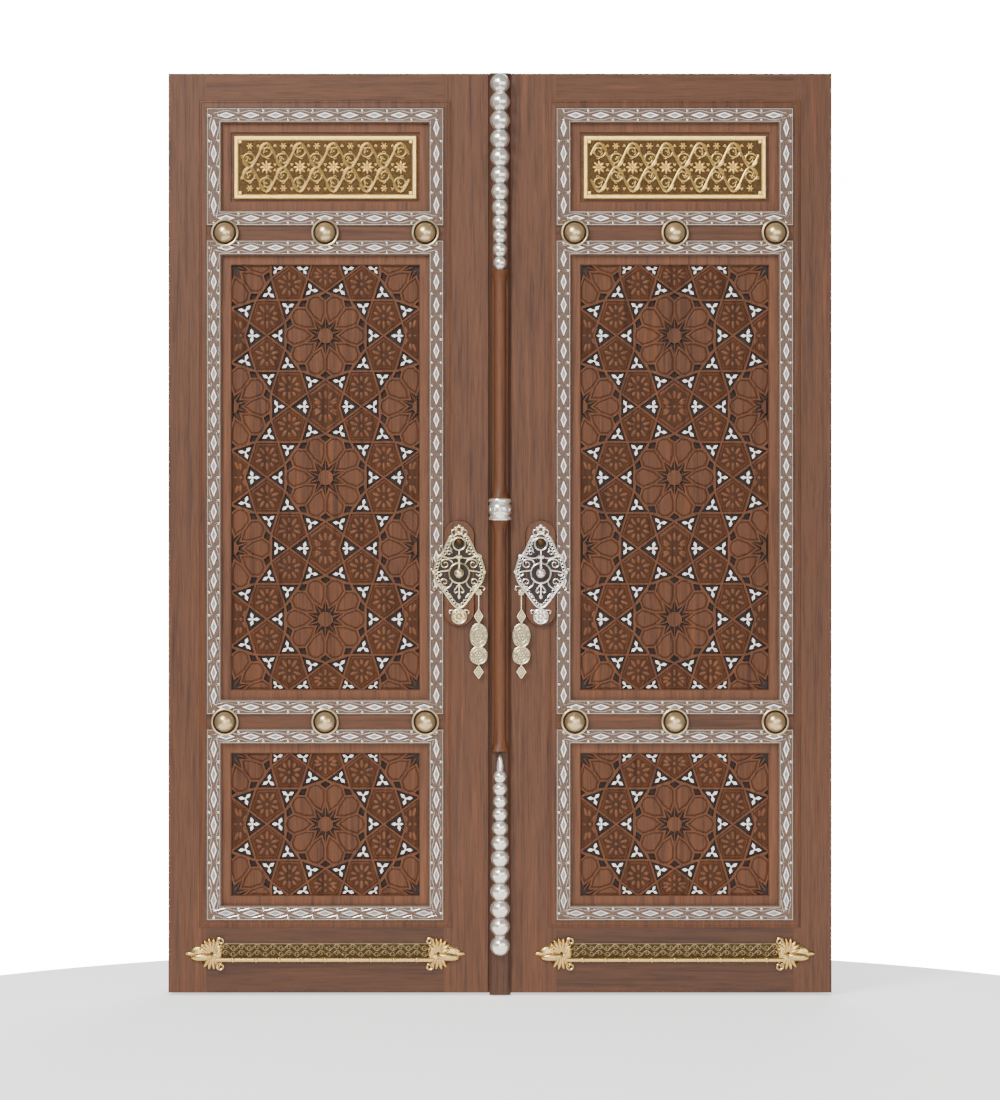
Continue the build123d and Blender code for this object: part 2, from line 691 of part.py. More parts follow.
def batten():
    """The cover strip that closes the gap between the leaves."""
    half, back, front = BATTEN_WIDTH / 2, LEAF_FRONT, BATTEN_FRONT
    section = [
        (-half, back), (half, back), (half, front + BATTEN_CHAMFER), (half - BATTEN_CHAMFER, front),
        (BATTEN_CHAMFER - half, front), (-half, front + BATTEN_CHAMFER),
    ]
    low = FLOOR_GAP - BATTEN_LOW_END
    face = Face(Wire.make_polygon([(x, y, low) for x, y in section]))
    return Solid.extrude(face, (0, 0, LEAF_TOP - low))


def boss():
    """A domed boss whose stem lifts its flange over the mouldings."""
    lift = MOULDING_PROUD + SILVER_HEIGHT + BOSS_CLEARANCE
    face_at = lift + BOSS_FLANGE_HEIGHT
    high = face_at + BOSS_HEIGHT
    ball = (BOSS_RADIUS**2 + BOSS_HEIGHT**2) / (2 * BOSS_HEIGHT)
    half_angle = asin(BOSS_RADIUS / ball) / 2
    bulge = (ball * sin(half_angle), high - ball * (1 - cos(half_angle)))
    spots = [
        (0, 0), (BOSS_STEM, 0), (BOSS_STEM, lift), (BOSS_FLANGE, lift), (BOSS_FLANGE, face_at),
        (BOSS_RADIUS, face_at),
    ]
    edges = [Edge.make_line((*a, 0), (*b, 0)) for a, b in zip(spots, spots[1:])]
    edges.append(Edge.make_three_point_arc((*spots[-1], 0), (*bulge, 0), (0, high, 0)))
    edges.append(Edge.make_line((0, high, 0), (0, 0, 0)))
    dome = Solid.revolve(Face(Wire(edges)), FULL_TURN, Axis.Y)
    return dome.mirror(Plane.XZ)


def boss_set():
    """Three bosses on each of the two cross rails."""
    spread = BAY_WIDTH / 2 - BOSS_INSET
    levels = (LOWER_RAIL_Z + CROSS_RAIL / 2, UPPER_RAIL_Z + CROSS_RAIL / 2)
    shape = boss()
    return [Pos(BAY_X + step * spread, LEAF_FRONT, z) * shape for z in levels for step in (-1, 0, 1)]


def hinge_zones():
    """Heights of the hinges' middles above the floor."""
    return [FLOOR_GAP + z for z in HINGE_HEIGHTS]


def hinge_plate(side, numbers):
    """A hinge plate with its own knuckles, side 1 on the frame and -1 on the leaf."""
    near = HINGE_Y + side * HINGE_PLATE_GAP / 2
    far = near + side * HINGE_PLATE_THICKNESS
    y0, y1 = min(near, far), max(near, far)
    root = HINGE_X - BARREL_RADIUS - BARREL_ROOM
    low = -HINGE_LENGTH / 2
    pieces = [block(HINGE_X - HINGE_PLATE_WIDTH, root, y0, y1, low, -low)]
    for k in numbers:
        z0 = low + k * KNUCKLE_LENGTH + KNUCKLE_GAP / 2
        z1 = z0 + KNUCKLE_LENGTH - KNUCKLE_GAP
        pieces.append(block(root, HINGE_X, y0, y1, z0, z1))
        pieces.append(rod(BARREL_RADIUS, z1 - z0, (HINGE_X, HINGE_Y, z0), (0, 0, 1)))
    bore = rod(BORE_RADIUS, HINGE_LENGTH + 2 * CUT, (HINGE_X, HINGE_Y, low - CUT), (0, 0, 1))
    return fused(pieces).cut(bore)


def hinge_pin():
    """A hinge pin with a ball finial at each end."""
    rise = HINGE_LENGTH / 2 + FINIAL_GAP + FINIAL_RADIUS
    pin = rod(HINGE_PIN_RADIUS, 2 * rise, (HINGE_X, HINGE_Y, -rise), (0, 0, 1))
    balls = [Pos(HINGE_X, HINGE_Y, s * rise) * Solid.make_sphere(FINIAL_RADIUS) for s in (-1, 1)]
    return fused([pin] + balls)


def at_hinges(shape):
    """A copy of a hinge piece at each hinge."""
    return [Pos(0, 0, z) * shape for z in hinge_zones()]


def hinge_stile():
    """The outer stile, notched for barrels and let in for hinge plates."""
    stile = block(BAY_OUTER, HALF_WIDTH, LEAF_FRONT, LEAF_BACK, FLOOR_GAP, LEAF_TOP)
    root = HINGE_X - BARREL_RADIUS - BARREL_ROOM
    plate_in = HINGE_Y - HINGE_PLATE_GAP / 2 - HINGE_PLATE_THICKNESS
    half = HINGE_LENGTH / 2
    reach = half + FINIAL_GAP + 2 * FINIAL_RADIUS + NOTCH_ROOM
    cuts = []
    for z in hinge_zones():
        start = HINGE_X - HINGE_PLATE_WIDTH
        cuts.append(block(start, root + CUT, plate_in, LEAF_BACK + CUT, z - half, z + half))
        notch = LEAF_BACK - NOTCH_DEPTH
        cuts.append(block(root, HALF_WIDTH + CUT, notch, LEAF_BACK + CUT, z - reach, z + reach))
    return stile.cut(*cuts)


def jamb():
    """One side of the frame, let in for hinge plates and drilled for its anchors."""
    post = block(JAMB_INNER, JAMB_OUTER, FRAME_FRONT, -FRAME_FRONT, 0, FRAME_TOP)
    plate_in = HINGE_Y + HINGE_PLATE_GAP / 2 + HINGE_PLATE_THICKNESS
    half = HINGE_LENGTH / 2
    start = HINGE_X - HINGE_PLATE_WIDTH
    cuts = [
        block(start, JAMB_OUTER + CUT, FRAME_FRONT - CUT, plate_in, z - half, z + half)
        for z in hinge_zones()
    ]
    for y in (-ANCHOR_SPACING_Y / 2, ANCHOR_SPACING_Y / 2):
        for z in (-ANCHOR_SPACING_Z / 2, ANCHOR_SPACING_Z / 2):
            hole = (JAMB_INNER - CUT, y, FRAME_TOP / 2 + z)
            cuts.append(rod(ANCHOR_RADIUS, JAMB_WIDTH + 2 * CUT, hole, (1, 0, 0)))
    return post.cut(*cuts)


def head():
    """The top of the frame, between the jambs."""
    low = FRAME_TOP - JAMB_WIDTH
    return block(-JAMB_INNER, JAMB_INNER, FRAME_FRONT, -FRAME_FRONT, low, FRAME_TOP)


def threshold():
    """The sill between the jambs."""
    return block(-JAMB_INNER, JAMB_INNER, FRAME_FRONT, -FRAME_FRONT, 0, THRESHOLD_HEIGHT)


def bolt_room(room):
    """Half the bolt's thickness and height with some room around it."""
    return BOLT_THICKNESS / 2 + room, BOLT_HEIGHT / 2 + room


def right_meeting_stile():
    """The stile that carries the astragal, mortised for the lock case."""
    stile = block(RIGHT_EDGE, BAY_INNER, LEAF_FRONT, LEAF_BACK, FLOOR_GAP, LEAF_TOP)
    half_y, half_z = CASE_THICKNESS / 2, CASE_HEIGHT / 2
    return stile.cut(block(
        RIGHT_EDGE - CUT, RIGHT_EDGE + CASE_DEPTH, LOCK_CENTRE_Y - half_y, LOCK_CENTRE_Y + half_y,
        LOCK_CENTRE_Z - half_z, LOCK_CENTRE_Z + half_z,
    ))


def left_meeting_stile():
    """The stile that takes the bolt, modelled on the right and mirrored."""
    stile = block(LEFT_EDGE, BAY_INNER, LEAF_FRONT, LEAF_BACK, FLOOR_GAP, LEAF_TOP)
    half_y, half_z = bolt_room(STRIKE_ROOM)
    return stile.cut(block(
        LEFT_EDGE - CUT, LEFT_EDGE + BOLT_THROW, LOCK_CENTRE_Y - half_y, LOCK_CENTRE_Y + half_y,
        LOCK_CENTRE_Z - half_z, LOCK_CENTRE_Z + half_z,
    ))


def lock_case():
    """The case of the mortise lock, with a channel for its bolt."""
    half_y, half_z = CASE_THICKNESS / 2, CASE_HEIGHT / 2
    case = block(
        RIGHT_EDGE, RIGHT_EDGE + CASE_DEPTH, LOCK_CENTRE_Y - half_y, LOCK_CENTRE_Y + half_y,
        LOCK_CENTRE_Z - half_z, LOCK_CENTRE_Z + half_z,
    )
    room_y, room_z = bolt_room(BOLT_ROOM)
    channel_end = RIGHT_EDGE + BOLT_LENGTH + BOLT_ROOM
    return case.cut(block(
        RIGHT_EDGE - CUT, channel_end, LOCK_CENTRE_Y - room_y, LOCK_CENTRE_Y + room_y,
        LOCK_CENTRE_Z - room_z, LOCK_CENTRE_Z + room_z,
    ))


def lock_bolt():
    """The bolt, drawn back flush with the edge of the leaf."""
    half_y, half_z = bolt_room(0)
    return block(
        RIGHT_EDGE, RIGHT_EDGE + BOLT_LENGTH, LOCK_CENTRE_Y - half_y, LOCK_CENTRE_Y + half_y,
        LOCK_CENTRE_Z - half_z, LOCK_CENTRE_Z + half_z,
    )


def lock_pad():
    """The round-ended wooden pad under the lock plate."""
    straight = PAD_HEIGHT - 2 * PAD_HALF_WIDTH
    pad = block(
        LOCK_X - PAD_HALF_WIDTH, LOCK_X + PAD_HALF_WIDTH, PAD_FRONT, LEAF_FRONT,
        LOCK_CENTRE_Z - straight / 2, LOCK_CENTRE_Z + straight / 2,
    )
    spots = [(LOCK_X, PAD_FRONT, LOCK_CENTRE_Z + s * straight / 2) for s in (-1, 1)]
    ends = [rod(PAD_HALF_WIDTH, PAD_THICKNESS, spot, (0, 1, 0)) for spot in spots]
    return fused([pad] + ends)


def ears_and_pin(pivot, back):
    """Two ears that stand out from a plate, and the cross pin between them."""
    x, y, z = pivot
    inner = EYE_WIDTH / 2 + EYE_GAP
    outer = inner + EAR_THICKNESS
    pieces = []
    for s in (-1, 1):
        x0 = min(x + s * inner, x + s * outer)
        pieces.append(block(x0, x0 + EAR_THICKNESS, y, back, z - EYE_RADIUS, z + EYE_RADIUS))
        pieces.append(rod(EYE_RADIUS, EAR_THICKNESS, (x0, y, z), (1, 0, 0)))
    pieces.append(rod(PIN_RADIUS, 2 * outer, (x - outer, y, z), (1, 0, 0)))
    return pieces


def eye(pivot):
    """The eye of a hanging piece, before its bore."""
    x, y, z = pivot
    return rod(EYE_RADIUS, EYE_WIDTH, (x - EYE_WIDTH / 2, y, z), (1, 0, 0))


def eye_bore(pivot):
    """The hole of an eye, with running room on its pin."""
    x, y, z = pivot
    length = EYE_WIDTH + 2 * CUT
    return rod(PIN_RADIUS + PIN_CLEARANCE, length, (x - length / 2, y, z), (1, 0, 0))


def knocker_pivot():
    """The cross pin of the knocker, above the middle of the lock plate."""
    return (LOCK_X, LOCK_PLATE_FRONT - KNOCKER_STAND, LOCK_CENTRE_Z + KNOCKER_DROP)


def on_lock_plate(shares):
    """Points of the lock plate from their shares of its width and height."""
    return [(LOCK_X + u * LOCK_PLATE_WIDTH, LOCK_CENTRE_Z + v * LOCK_PLATE_HEIGHT) for u, v in shares]


def lock_plate():
    """The openwork plate with ears for the knocker."""
    right = LOCK_OUTLINE_SHARES[::-1]
    left = [(-u, v) for u, v in LOCK_OUTLINE_SHARES[1:-1]]
    holes = []
    for opening in LOCK_OPENING_SHARES:
        holes.append(on_lock_plate(opening))
        holes.append(on_lock_plate([(-u, v) for u, v in opening[::-1]]))
    body = plate(on_lock_plate(right + left), holes, PAD_FRONT, LOCK_PLATE_FRONT)
    top = LOCK_CENTRE_Z + LOCK_TOP_HOLE_SHARE * LOCK_PLATE_HEIGHT
    start = (LOCK_X, LOCK_PLATE_FRONT - CUT, top)
    hole = rod(LOCK_HOLE_RADIUS, LOCK_PLATE_THICKNESS + 2 * CUT, start, (0, 1, 0))
    return fused([body.cut(hole)] + ears_and_pin(knocker_pivot(), LOCK_PLATE_FRONT))


def knocker():
    """A ball on a short stem."""
    pivot = knocker_pivot()
    x, y, z = pivot
    stem = rod(KNOCKER_STEM, KNOCKER_DROP, (x, y, z - KNOCKER_DROP), (0, 0, 1))
    ball = Pos(x, y, z - KNOCKER_DROP) * Solid.make_sphere(KNOCKER_BALL)
    return fused([eye(pivot), stem, ball]).cut(eye_bore(pivot))


def pull_pivot():
    """The cross pin of the drop pull, beside the lock plate."""
    return (PULL_X, LEAF_FRONT - PULL_STAND, LOCK_CENTRE_Z - PULL_PIVOT_DROP)


def pull_staple():
    """A small plate with two ears that carries the drop pull."""
    x, _, z = pull_pivot()
    front = LEAF_FRONT - STAPLE_THICKNESS
    half_w, half_h = STAPLE_WIDTH / 2, STAPLE_HEIGHT / 2
    base = block(x - half_w, x + half_w, front, LEAF_FRONT, z - half_h, z + half_h)
    return fused([base] + ears_and_pin(pull_pivot(), front))


def diamond(centre, size):
    """The corners of an upright diamond."""
    (u, v), (width, height) = centre, size
    return [(u, v - height / 2), (u + width / 2, v), (u, v + height / 2), (u - width / 2, v)]


def disc(centre, radii, back, front):
    """A flat oval between two depths, which faces -Y."""
    longer = (1, 0, 0) if radii[0] >= radii[1] else (0, 0, 1)
    spot = Plane(origin=(centre[0], back, centre[1]), x_dir=longer, z_dir=(0, -1, 0))
    edge = Edge.make_ellipse(max(radii), min(radii), spot)
    return Solid.extrude(Face(Wire([edge])), (0, front - back, 0))


def drop_pull():
    """A hanging pull of a diamond, an oval, a round and a small diamond."""
    pivot = pull_pivot()
    x, y, z = pivot
    back, front = y + PULL_THICKNESS / 2, y - PULL_THICKNESS / 2
    bead_front = front - PULL_BEAD
    half, low = PULL_LINK_WIDTH / 2, z - PULL_LINK_LENGTH - CUT
    link = block(x - half, x + half, front, back, low, z - PULL_LINK_WIDTH)
    oval, ball = (x, z - PULL_OVAL_DROP), (x, z - PULL_ROUND_DROP)
    oval_radii = (PULL_OVAL[0] / 2, PULL_OVAL[1] / 2)
    round_radii = (PULL_ROUND / 2, PULL_ROUND / 2)
    pieces = [eye(pivot), link]
    pieces.append(plate(diamond((x, z - PULL_DIAMOND_DROP), PULL_TOP_DIAMOND), [], back, front))
    pieces.append(plate(diamond((x, z - PULL_END_DROP), PULL_END_DIAMOND), [], back, front))
    for centre, radii in ((oval, oval_radii), (ball, round_radii)):
        pieces.append(disc(centre, radii, back, front))
        pieces.append(disc(centre, [r * PULL_BEZEL_SHARE for r in radii], front, bead_front))
    return fused(pieces).cut(eye_bore(pivot))


def kick_bar():
    """An openwork strip with a rod along its foot and a leaf-shaped cap at each end."""
    low = FLOOR_GAP + KICK_BASE_Z
    front = LEAF_FRONT - KICK_THICKNESS
    count = round(KICK_LENGTH / KICK_OPENING_PITCH)
    pitch = KICK_LENGTH / count
    holes = []
    for row, share in enumerate(KICK_ROW_SHARES):
        for k in range(1, count - row):
            at = (-KICK_LENGTH / 2 + (k + row / 2) * pitch, low + share * KICK_HEIGHT)
            size = (2 * KICK_OPENING_SHARES[0] * pitch, 2 * KICK_OPENING_SHARES[1] * KICK_HEIGHT)
            holes.append(diamond(at, size))
    half = KICK_LENGTH / 2
    sheet = [(-half, low), (half, low), (half, low + KICK_HEIGHT), (-half, low + KICK_HEIGHT)]
    strip = plate(sheet, holes, LEAF_FRONT, front)
    start = (-half, LEAF_FRONT - KICK_ROD_RADIUS, low - KICK_ROD_RADIUS / 2)
    bar = rod(KICK_ROD_RADIUS, KICK_LENGTH, start, (1, 0, 0))
    middle = low + KICK_HEIGHT / 2 - KICK_ROD_RADIUS
    root = half - KICK_CAP_LAP_SHARE * KICK_CAP_LENGTH
    caps = []
    for s in (-1, 1):
        fan = [(s * (root + u * KICK_CAP_LENGTH), v * KICK_CAP_HEIGHT) for u, v in KICK_CAP_SHARES]
        upper = [(u, middle + v) for u, v in fan]
        lower = [(u, middle - v) for u, v in fan[:-1]]
        leaf = lower + upper[::-1]
        caps.append(plate(leaf if s > 0 else leaf[::-1], [], LEAF_FRONT, LEAF_FRONT - KICK_CAP_THICKNESS))
    return Pos(BAY_X, 0, 0) * fused([strip, bar] + caps)


def rail(low, height):
    """A rail between the stiles."""
    return block(BAY_INNER, BAY_OUTER, LEAF_FRONT, LEAF_BACK, low, low + height)


def window(height):
    """Height of the panel inside a bay."""
    return height - 2 * (MOULDING_WIDTH + MARGIN_WIDTH)


def leaf_pieces():
    """The solids of every piece that both leaves have, on the right leaf."""
    bays = {
        "lower": (LOWER_BAY_Z, LOWER_BAY), "middle": (MIDDLE_BAY_Z, MIDDLE_BAY),
        "upper": (UPPER_BAY_Z, UPPER_BAY),
    }
    repeats = {"lower": LOWER_REPEATS, "middle": MIDDLE_REPEATS}
    pieces = {
        "hinge_stile": [hinge_stile()],
        "bottom_rail": [rail(FLOOR_GAP, BOTTOM_RAIL)],
        "lower_rail": [rail(LOWER_RAIL_Z, CROSS_RAIL)],
        "upper_rail": [rail(UPPER_RAIL_Z, CROSS_RAIL)],
        "top_rail": [rail(TOP_RAIL_Z, TOP_RAIL)],
        "bosses": boss_set(),
        "lock_pad": [lock_pad()],
        "lock_plate": [lock_plate()],
        "knocker": [knocker()],
        "pull_staple": [pull_staple()],
        "drop_pull": [drop_pull()],
        "kick_bar": [kick_bar()],
        "leaf_hinge_plates": at_hinges(hinge_plate(-1, (1, 3))),
    }
    silver, pearls = [], []
    for name, (low, height) in bays.items():
        place = Pos(BAY_X, 0, low + height / 2)
        pieces[name + "_moulding"] = [place * moulding(height)]
        silver += [place * shape for shape in silver_set(height)]
        if name in repeats:
            cells = panel_cells(WINDOW_WIDTH, window(height), repeats[name])
            board = carved_panel(WINDOW_WIDTH, window(height), cells)
            found = [pearl_leaf(cut) for kind, cut, _, _ in cells if kind == "pearl"]
            pearls += [place * shape for shape in found if shape]
        else:
            board = plate(rectangle(WINDOW_WIDTH, window(height)), [], BAY_BACK, PANEL_FRONT)
            pieces["brass_plate"] = [place * brass_plate()]
        pieces[name + "_panel"] = [place * board]
    pieces["silver_inlay"] = silver
    pieces["pearl_inlay"] = pearls
    return pieces


def all_nodes():
    """The solids of every node by its name."""
    frame_plates, pins = at_hinges(hinge_plate(1, (0, 2, 4))), at_hinges(hinge_pin())
    nodes = {
        "left_jamb": mirrored([jamb()]),
        "right_jamb": [jamb()],
        "head": [head()],
        "threshold": [threshold()],
        "frame_hinge_plates": frame_plates + mirrored(frame_plates),
        "hinge_pins": pins + mirrored(pins),
        "left_meeting_stile": mirrored([left_meeting_stile()]),
        "right_meeting_stile": [right_meeting_stile()],
        "astragal_batten": [batten()],
        "astragal_shaft": shaft(),
        "astragal_collar": [collar()],
        "upper_spindle": [upper_spindle()],
        "lower_spindle": [lower_spindle()],
        "lock_case": [lock_case()],
        "lock_bolt": [lock_bolt()],
    }
    for name, solids in leaf_pieces().items():
        nodes["right_" + name] = solids
        nodes["left_" + name] = mirrored(solids)
    return nodes


os.makedirs("parts", exist_ok=True)
for node, solids in all_nodes().items():
    shape = solids[0] if len(solids) == 1 else Compound(children=solids)
    export_step(shape, "parts/" + node + ".step")
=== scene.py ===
"""A carved two-leaf mosque door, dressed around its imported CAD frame.

The frame is that of the CAD model, in metres: +X to the right seen from outside, -Y towards the
outside and +Z up. Pieces are modelled on the right leaf and mirrored to the left.
Named sizes of the ornament are in millimetres, and outlines are points (across, up).
"""
import math
from contextlib import contextmanager

import bpy
from bpy.props import FloatProperty, FloatVectorProperty, PointerProperty
from mathutils import Matrix, Vector


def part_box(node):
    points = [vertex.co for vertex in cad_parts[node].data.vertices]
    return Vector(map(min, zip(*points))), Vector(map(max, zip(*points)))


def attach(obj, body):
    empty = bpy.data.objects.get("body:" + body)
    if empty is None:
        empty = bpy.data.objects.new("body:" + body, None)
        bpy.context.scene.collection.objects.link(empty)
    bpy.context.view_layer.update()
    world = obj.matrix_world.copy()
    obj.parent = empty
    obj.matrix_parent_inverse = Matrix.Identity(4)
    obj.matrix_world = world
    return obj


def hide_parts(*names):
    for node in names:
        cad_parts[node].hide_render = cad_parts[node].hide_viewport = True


bl_info = {
    "name": "Carved mosque door",
    "version": (1, 0, 0),
    "blender": (4, 5, 0),
    "location": "View3D > Sidebar > Door",
    "description": "Dresses the packed frame of a carved two-leaf door",
    "category": "Object",
}

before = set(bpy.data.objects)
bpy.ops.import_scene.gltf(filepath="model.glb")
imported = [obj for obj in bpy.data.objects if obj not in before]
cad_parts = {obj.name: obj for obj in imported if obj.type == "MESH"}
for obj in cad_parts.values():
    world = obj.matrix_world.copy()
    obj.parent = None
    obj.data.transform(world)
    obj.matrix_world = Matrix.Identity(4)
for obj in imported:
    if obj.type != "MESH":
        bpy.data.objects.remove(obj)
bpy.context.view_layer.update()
MM = 0.001
SIDES = ("right", "left")
BAYS = ("upper", "middle", "lower")
LEAF_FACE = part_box("right_bottom_rail")[0].y
PAD_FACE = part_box("right_lock_pad")[0].y
BATTEN_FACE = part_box("astragal_batten")[0].y
PANEL_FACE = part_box("right_middle_panel")[0].y
MOULDING_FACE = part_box("right_middle_moulding")[0].y
LOCK_MIDDLE = (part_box("right_lock_pad")[0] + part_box("right_lock_pad")[1]) / 2
FACE_OUT = (math.pi / 2, 0, 0)
FACE_ACROSS = (0, math.pi / 2, 0)
SAME_POINT = 0.01 * MM


def linear(code):
    """An sRGB hex value as the linear colour that shaders take."""
    parts = [int(code[i:i + 2], 16) / 255 for i in (1, 3, 5)]
    return (*(c / 12.92 if c <= 0.04045 else ((c + 0.055) / 1.055) ** 2.4 for c in parts), 1)


def colour(title, code, words):
    """A colour that a user may change."""
    return FloatVectorProperty(
        name=title, description=words, subtype="COLOR", size=4, min=0, max=1, default=linear(code)
    )


def size(title, mm, words):
    """A length that a user may change, given in millimetres."""
    return FloatProperty(name=title, description=words, unit="LENGTH", min=0, default=mm * MM)


class DoorColours(bpy.types.PropertyGroup):
    """Colours of the door's finishes."""
    walnut_dark: colour("Walnut, dark", "#381b0b", "Dark streaks of the oiled walnut")
    walnut: colour("Walnut", "#502d15", "Body colour of the oiled walnut")
    walnut_light: colour("Walnut, light", "#63371a", "Light streaks of the oiled walnut")
    band: colour("Moulding ground", "#5f4636", "Ground behind the silver inlay")
    silver: colour("Silver", "#f7efe4", "Cast silver")
    brass: colour("Brass", "#c89c34", "Polished brass of the bosses")
    brass_rim: colour("Brass relief", "#e8c272", "Rims and vines of the upper plates")
    brass_pale: colour("Pale brass", "#cdab6c", "Rods and palmettes of the kick bars")
    bronze: colour("Bronze ground", "#6a5236", "Toned ground behind the brass relief")
    gilt: colour("Gilt", "#ecdcb0", "Pale gilding of the locks and pulls")
    pearl: colour("Pearl", "#f4f0e8", "Mother of pearl")
    steel: colour("Steel", "#8d857a", "Hinges and lock")
    floor: colour("Floor", "#f6f5f3", "Studio floor")


class DoorSizes(bpy.types.PropertyGroup):
    """Sizes of the ornament."""
    border: size("Border width", 19, "Width of the wooden border around the three bays")
    line: size("Silver line", 2.4, "Width of the silver lines on the mouldings")
    pitch: size("Lozenge pitch", 64, "Spacing of the silver lozenges along the mouldings")
    vine: size("Vine stem", 6.5, "Thickness of the brass vine on the upper plates")
    scroll: size("Scroll wire", 5, "Thickness of the scrollwork on the lock plates")
    lace: size("Kick bar scroll", 3.4, "Thickness of the scrollwork on the kick bars")


# Objects and meshes.

def hold(*objects):
    """Selects only these objects, if any, and makes the first one active."""
    if bpy.context.object and bpy.context.object.mode != "OBJECT":
        bpy.ops.object.mode_set(mode="OBJECT")
    bpy.ops.object.select_all(action="DESELECT")
    for obj in objects:
        obj.select_set(True)
    if objects:
        bpy.context.view_layer.objects.active = objects[0]


@contextmanager
def editing(obj):
    """Edit mode on one object, with its whole mesh selected."""
    hold(obj)
    bpy.ops.object.mode_set(mode="EDIT")
    bpy.ops.mesh.select_all(action="SELECT")
    yield
    bpy.ops.object.mode_set(mode="OBJECT")


def linked(name, data):
    """A new object in the scene for a mesh, curve, light or camera."""
    obj = bpy.data.objects.new(name, data)
    bpy.context.scene.collection.objects.link(obj)
    return obj


def drawn(name, spots, edges, faces):
    """A new object from points, edges and faces."""
    mesh = bpy.data.meshes.new(name)
    mesh.from_pydata(spots, edges, faces)
    return linked(name, mesh)


def apply_place(obj):
    """Puts an object's place, turn and scale into its mesh."""
    hold(obj)
    bpy.ops.object.transform_apply(location=True, rotation=True, scale=True)
    return obj


def outwards(obj):
    """Merges doubles and turns every face outwards."""
    with editing(obj):
        bpy.ops.mesh.remove_doubles(threshold=SAME_POINT)
        bpy.ops.mesh.normals_make_consistent(inside=False)
    return obj


def smooth(obj, degrees=40):
    """Smooth shading with sharp edges kept."""
    hold(obj)
    bpy.ops.object.shade_smooth_by_angle(angle=math.radians(degrees))
    return obj


def moved(x, y, z):
    """The matrix of a shift."""
    return Matrix.Translation((x, y, z))


def facing(angle):
    """The matrix of a turn in the plane of the door, anticlockwise seen from outside."""
    return Matrix.Rotation(-angle, 4, "Y")


def stretched(x, y, z):
    """The matrix of a stretch by three lengths in millimetres."""
    return Matrix.Diagonal((x * MM, y * MM, z * MM, 1))


def copy_of(obj, matrix):
    """A copy with its own mesh, placed by a matrix."""
    made = obj.copy()
    made.data = obj.data.copy()
    bpy.context.scene.collection.objects.link(made)
    made.matrix_world = matrix
    return made


def joined(objects):
    """Several objects melted into the first one."""
    hold(*objects)
    if len(objects) > 1:
        bpy.ops.object.join()
    return apply_place(bpy.context.view_layer.objects.active)


def spread(pattern, matrices):
    """Copies of a pattern piece at many places as one object; the pattern goes."""
    made = joined([copy_of(pattern, matrix) for matrix in matrices])
    bpy.data.objects.remove(pattern)
    return made


def painted(obj, *materials):
    """Gives an object its materials; all faces have the first one until they are told otherwise."""
    obj.data.materials.clear()
    for material in materials:
        obj.data.materials.append(material)
    return obj


def mirrored(obj):
    """A mirrored copy for the left leaf."""
    return outwards(apply_place(copy_of(obj, Matrix.Diagonal((-1, 1, 1, 1)))))


def settle(obj, name, body, slot, *nodes):
    """Names a finished piece, ties it to its body and hides the nodes it stands for."""
    apply_place(obj)
    obj.name = obj.data.name = name
    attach(obj, body)
    if nodes:
        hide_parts(*nodes)


def on_both_leaves(obj, name, slot, node=None, part="leaf"):
    """Settles a piece of the right leaf and its mirrored copy on the left."""
    for side, piece in zip(SIDES, (obj, mirrored(obj))):
        settle(piece, side + "_" + name, side + "_" + part, slot, *([side + "_" + node] if node else []))


def block(middle, span):
    """A box given by its middle and its span."""
    hold()
    bpy.ops.mesh.primitive_cube_add(size=1, location=middle)
    bpy.context.object.scale = span
    return apply_place(bpy.context.object)


def rod(sides, axis, at, wide, tall, long):
    """A bar with many or few sides, given by its middle, its two widths and its length."""
    hold()
    bpy.ops.mesh.primitive_cylinder_add(vertices=sides, radius=0.5, depth=1, location=at, rotation=axis)
    bpy.context.object.scale = (wide * MM, tall * MM, long * MM)
    return apply_place(bpy.context.object)


def ring(low, high, back, steps):
    """A mitred frame between two corners; steps are (inset, rise) in millimetres from the outer edge."""
    hold()
    middle, span = (low + high) / 2, high - low
    hub = Vector((middle.x, back, middle.z))
    bpy.ops.mesh.primitive_plane_add(size=1, location=hub, rotation=FACE_OUT)
    obj = bpy.context.object
    obj.scale = (span.x, span.z, 1)
    with editing(apply_place(obj)):
        for inset, rise in steps:
            if inset:
                bpy.ops.mesh.inset(thickness=inset * MM, depth=rise * MM)
            else:
                bpy.ops.mesh.extrude_region_move(TRANSFORM_OT_translate={"value": (0, -rise * MM, 0)})
        bpy.ops.mesh.delete(type="FACE")
        bpy.ops.mesh.select_mode(type="FACE")
    for face in obj.data.polygons:
        face.select = (face.center - hub).length < 0.1 * MM
    bpy.ops.object.mode_set(mode="EDIT")
    bpy.ops.mesh.delete(type="FACE")
    bpy.ops.mesh.select_mode(type="EDGE")
    bpy.ops.mesh.select_all(action="DESELECT")
    bpy.ops.mesh.select_non_manifold()
    bpy.ops.mesh.bridge_edge_loops()
    bpy.ops.mesh.select_mode(type="VERT")
    return outwards(obj)


def sheet(outlines, back, thick):
    """Thin plates with these outlines, as one object."""
    spots, faces = [], []
    for outline in outlines:
        faces.append(list(range(len(spots), len(spots) + len(outline))))
        spots += [(u, back, v) for u, v in outline]
    obj = drawn("sheet", spots, [], faces)
    with editing(obj):
        bpy.ops.mesh.extrude_region_move(TRANSFORM_OT_translate={"value": (0, -thick * MM, 0)})
    return outwards(obj)


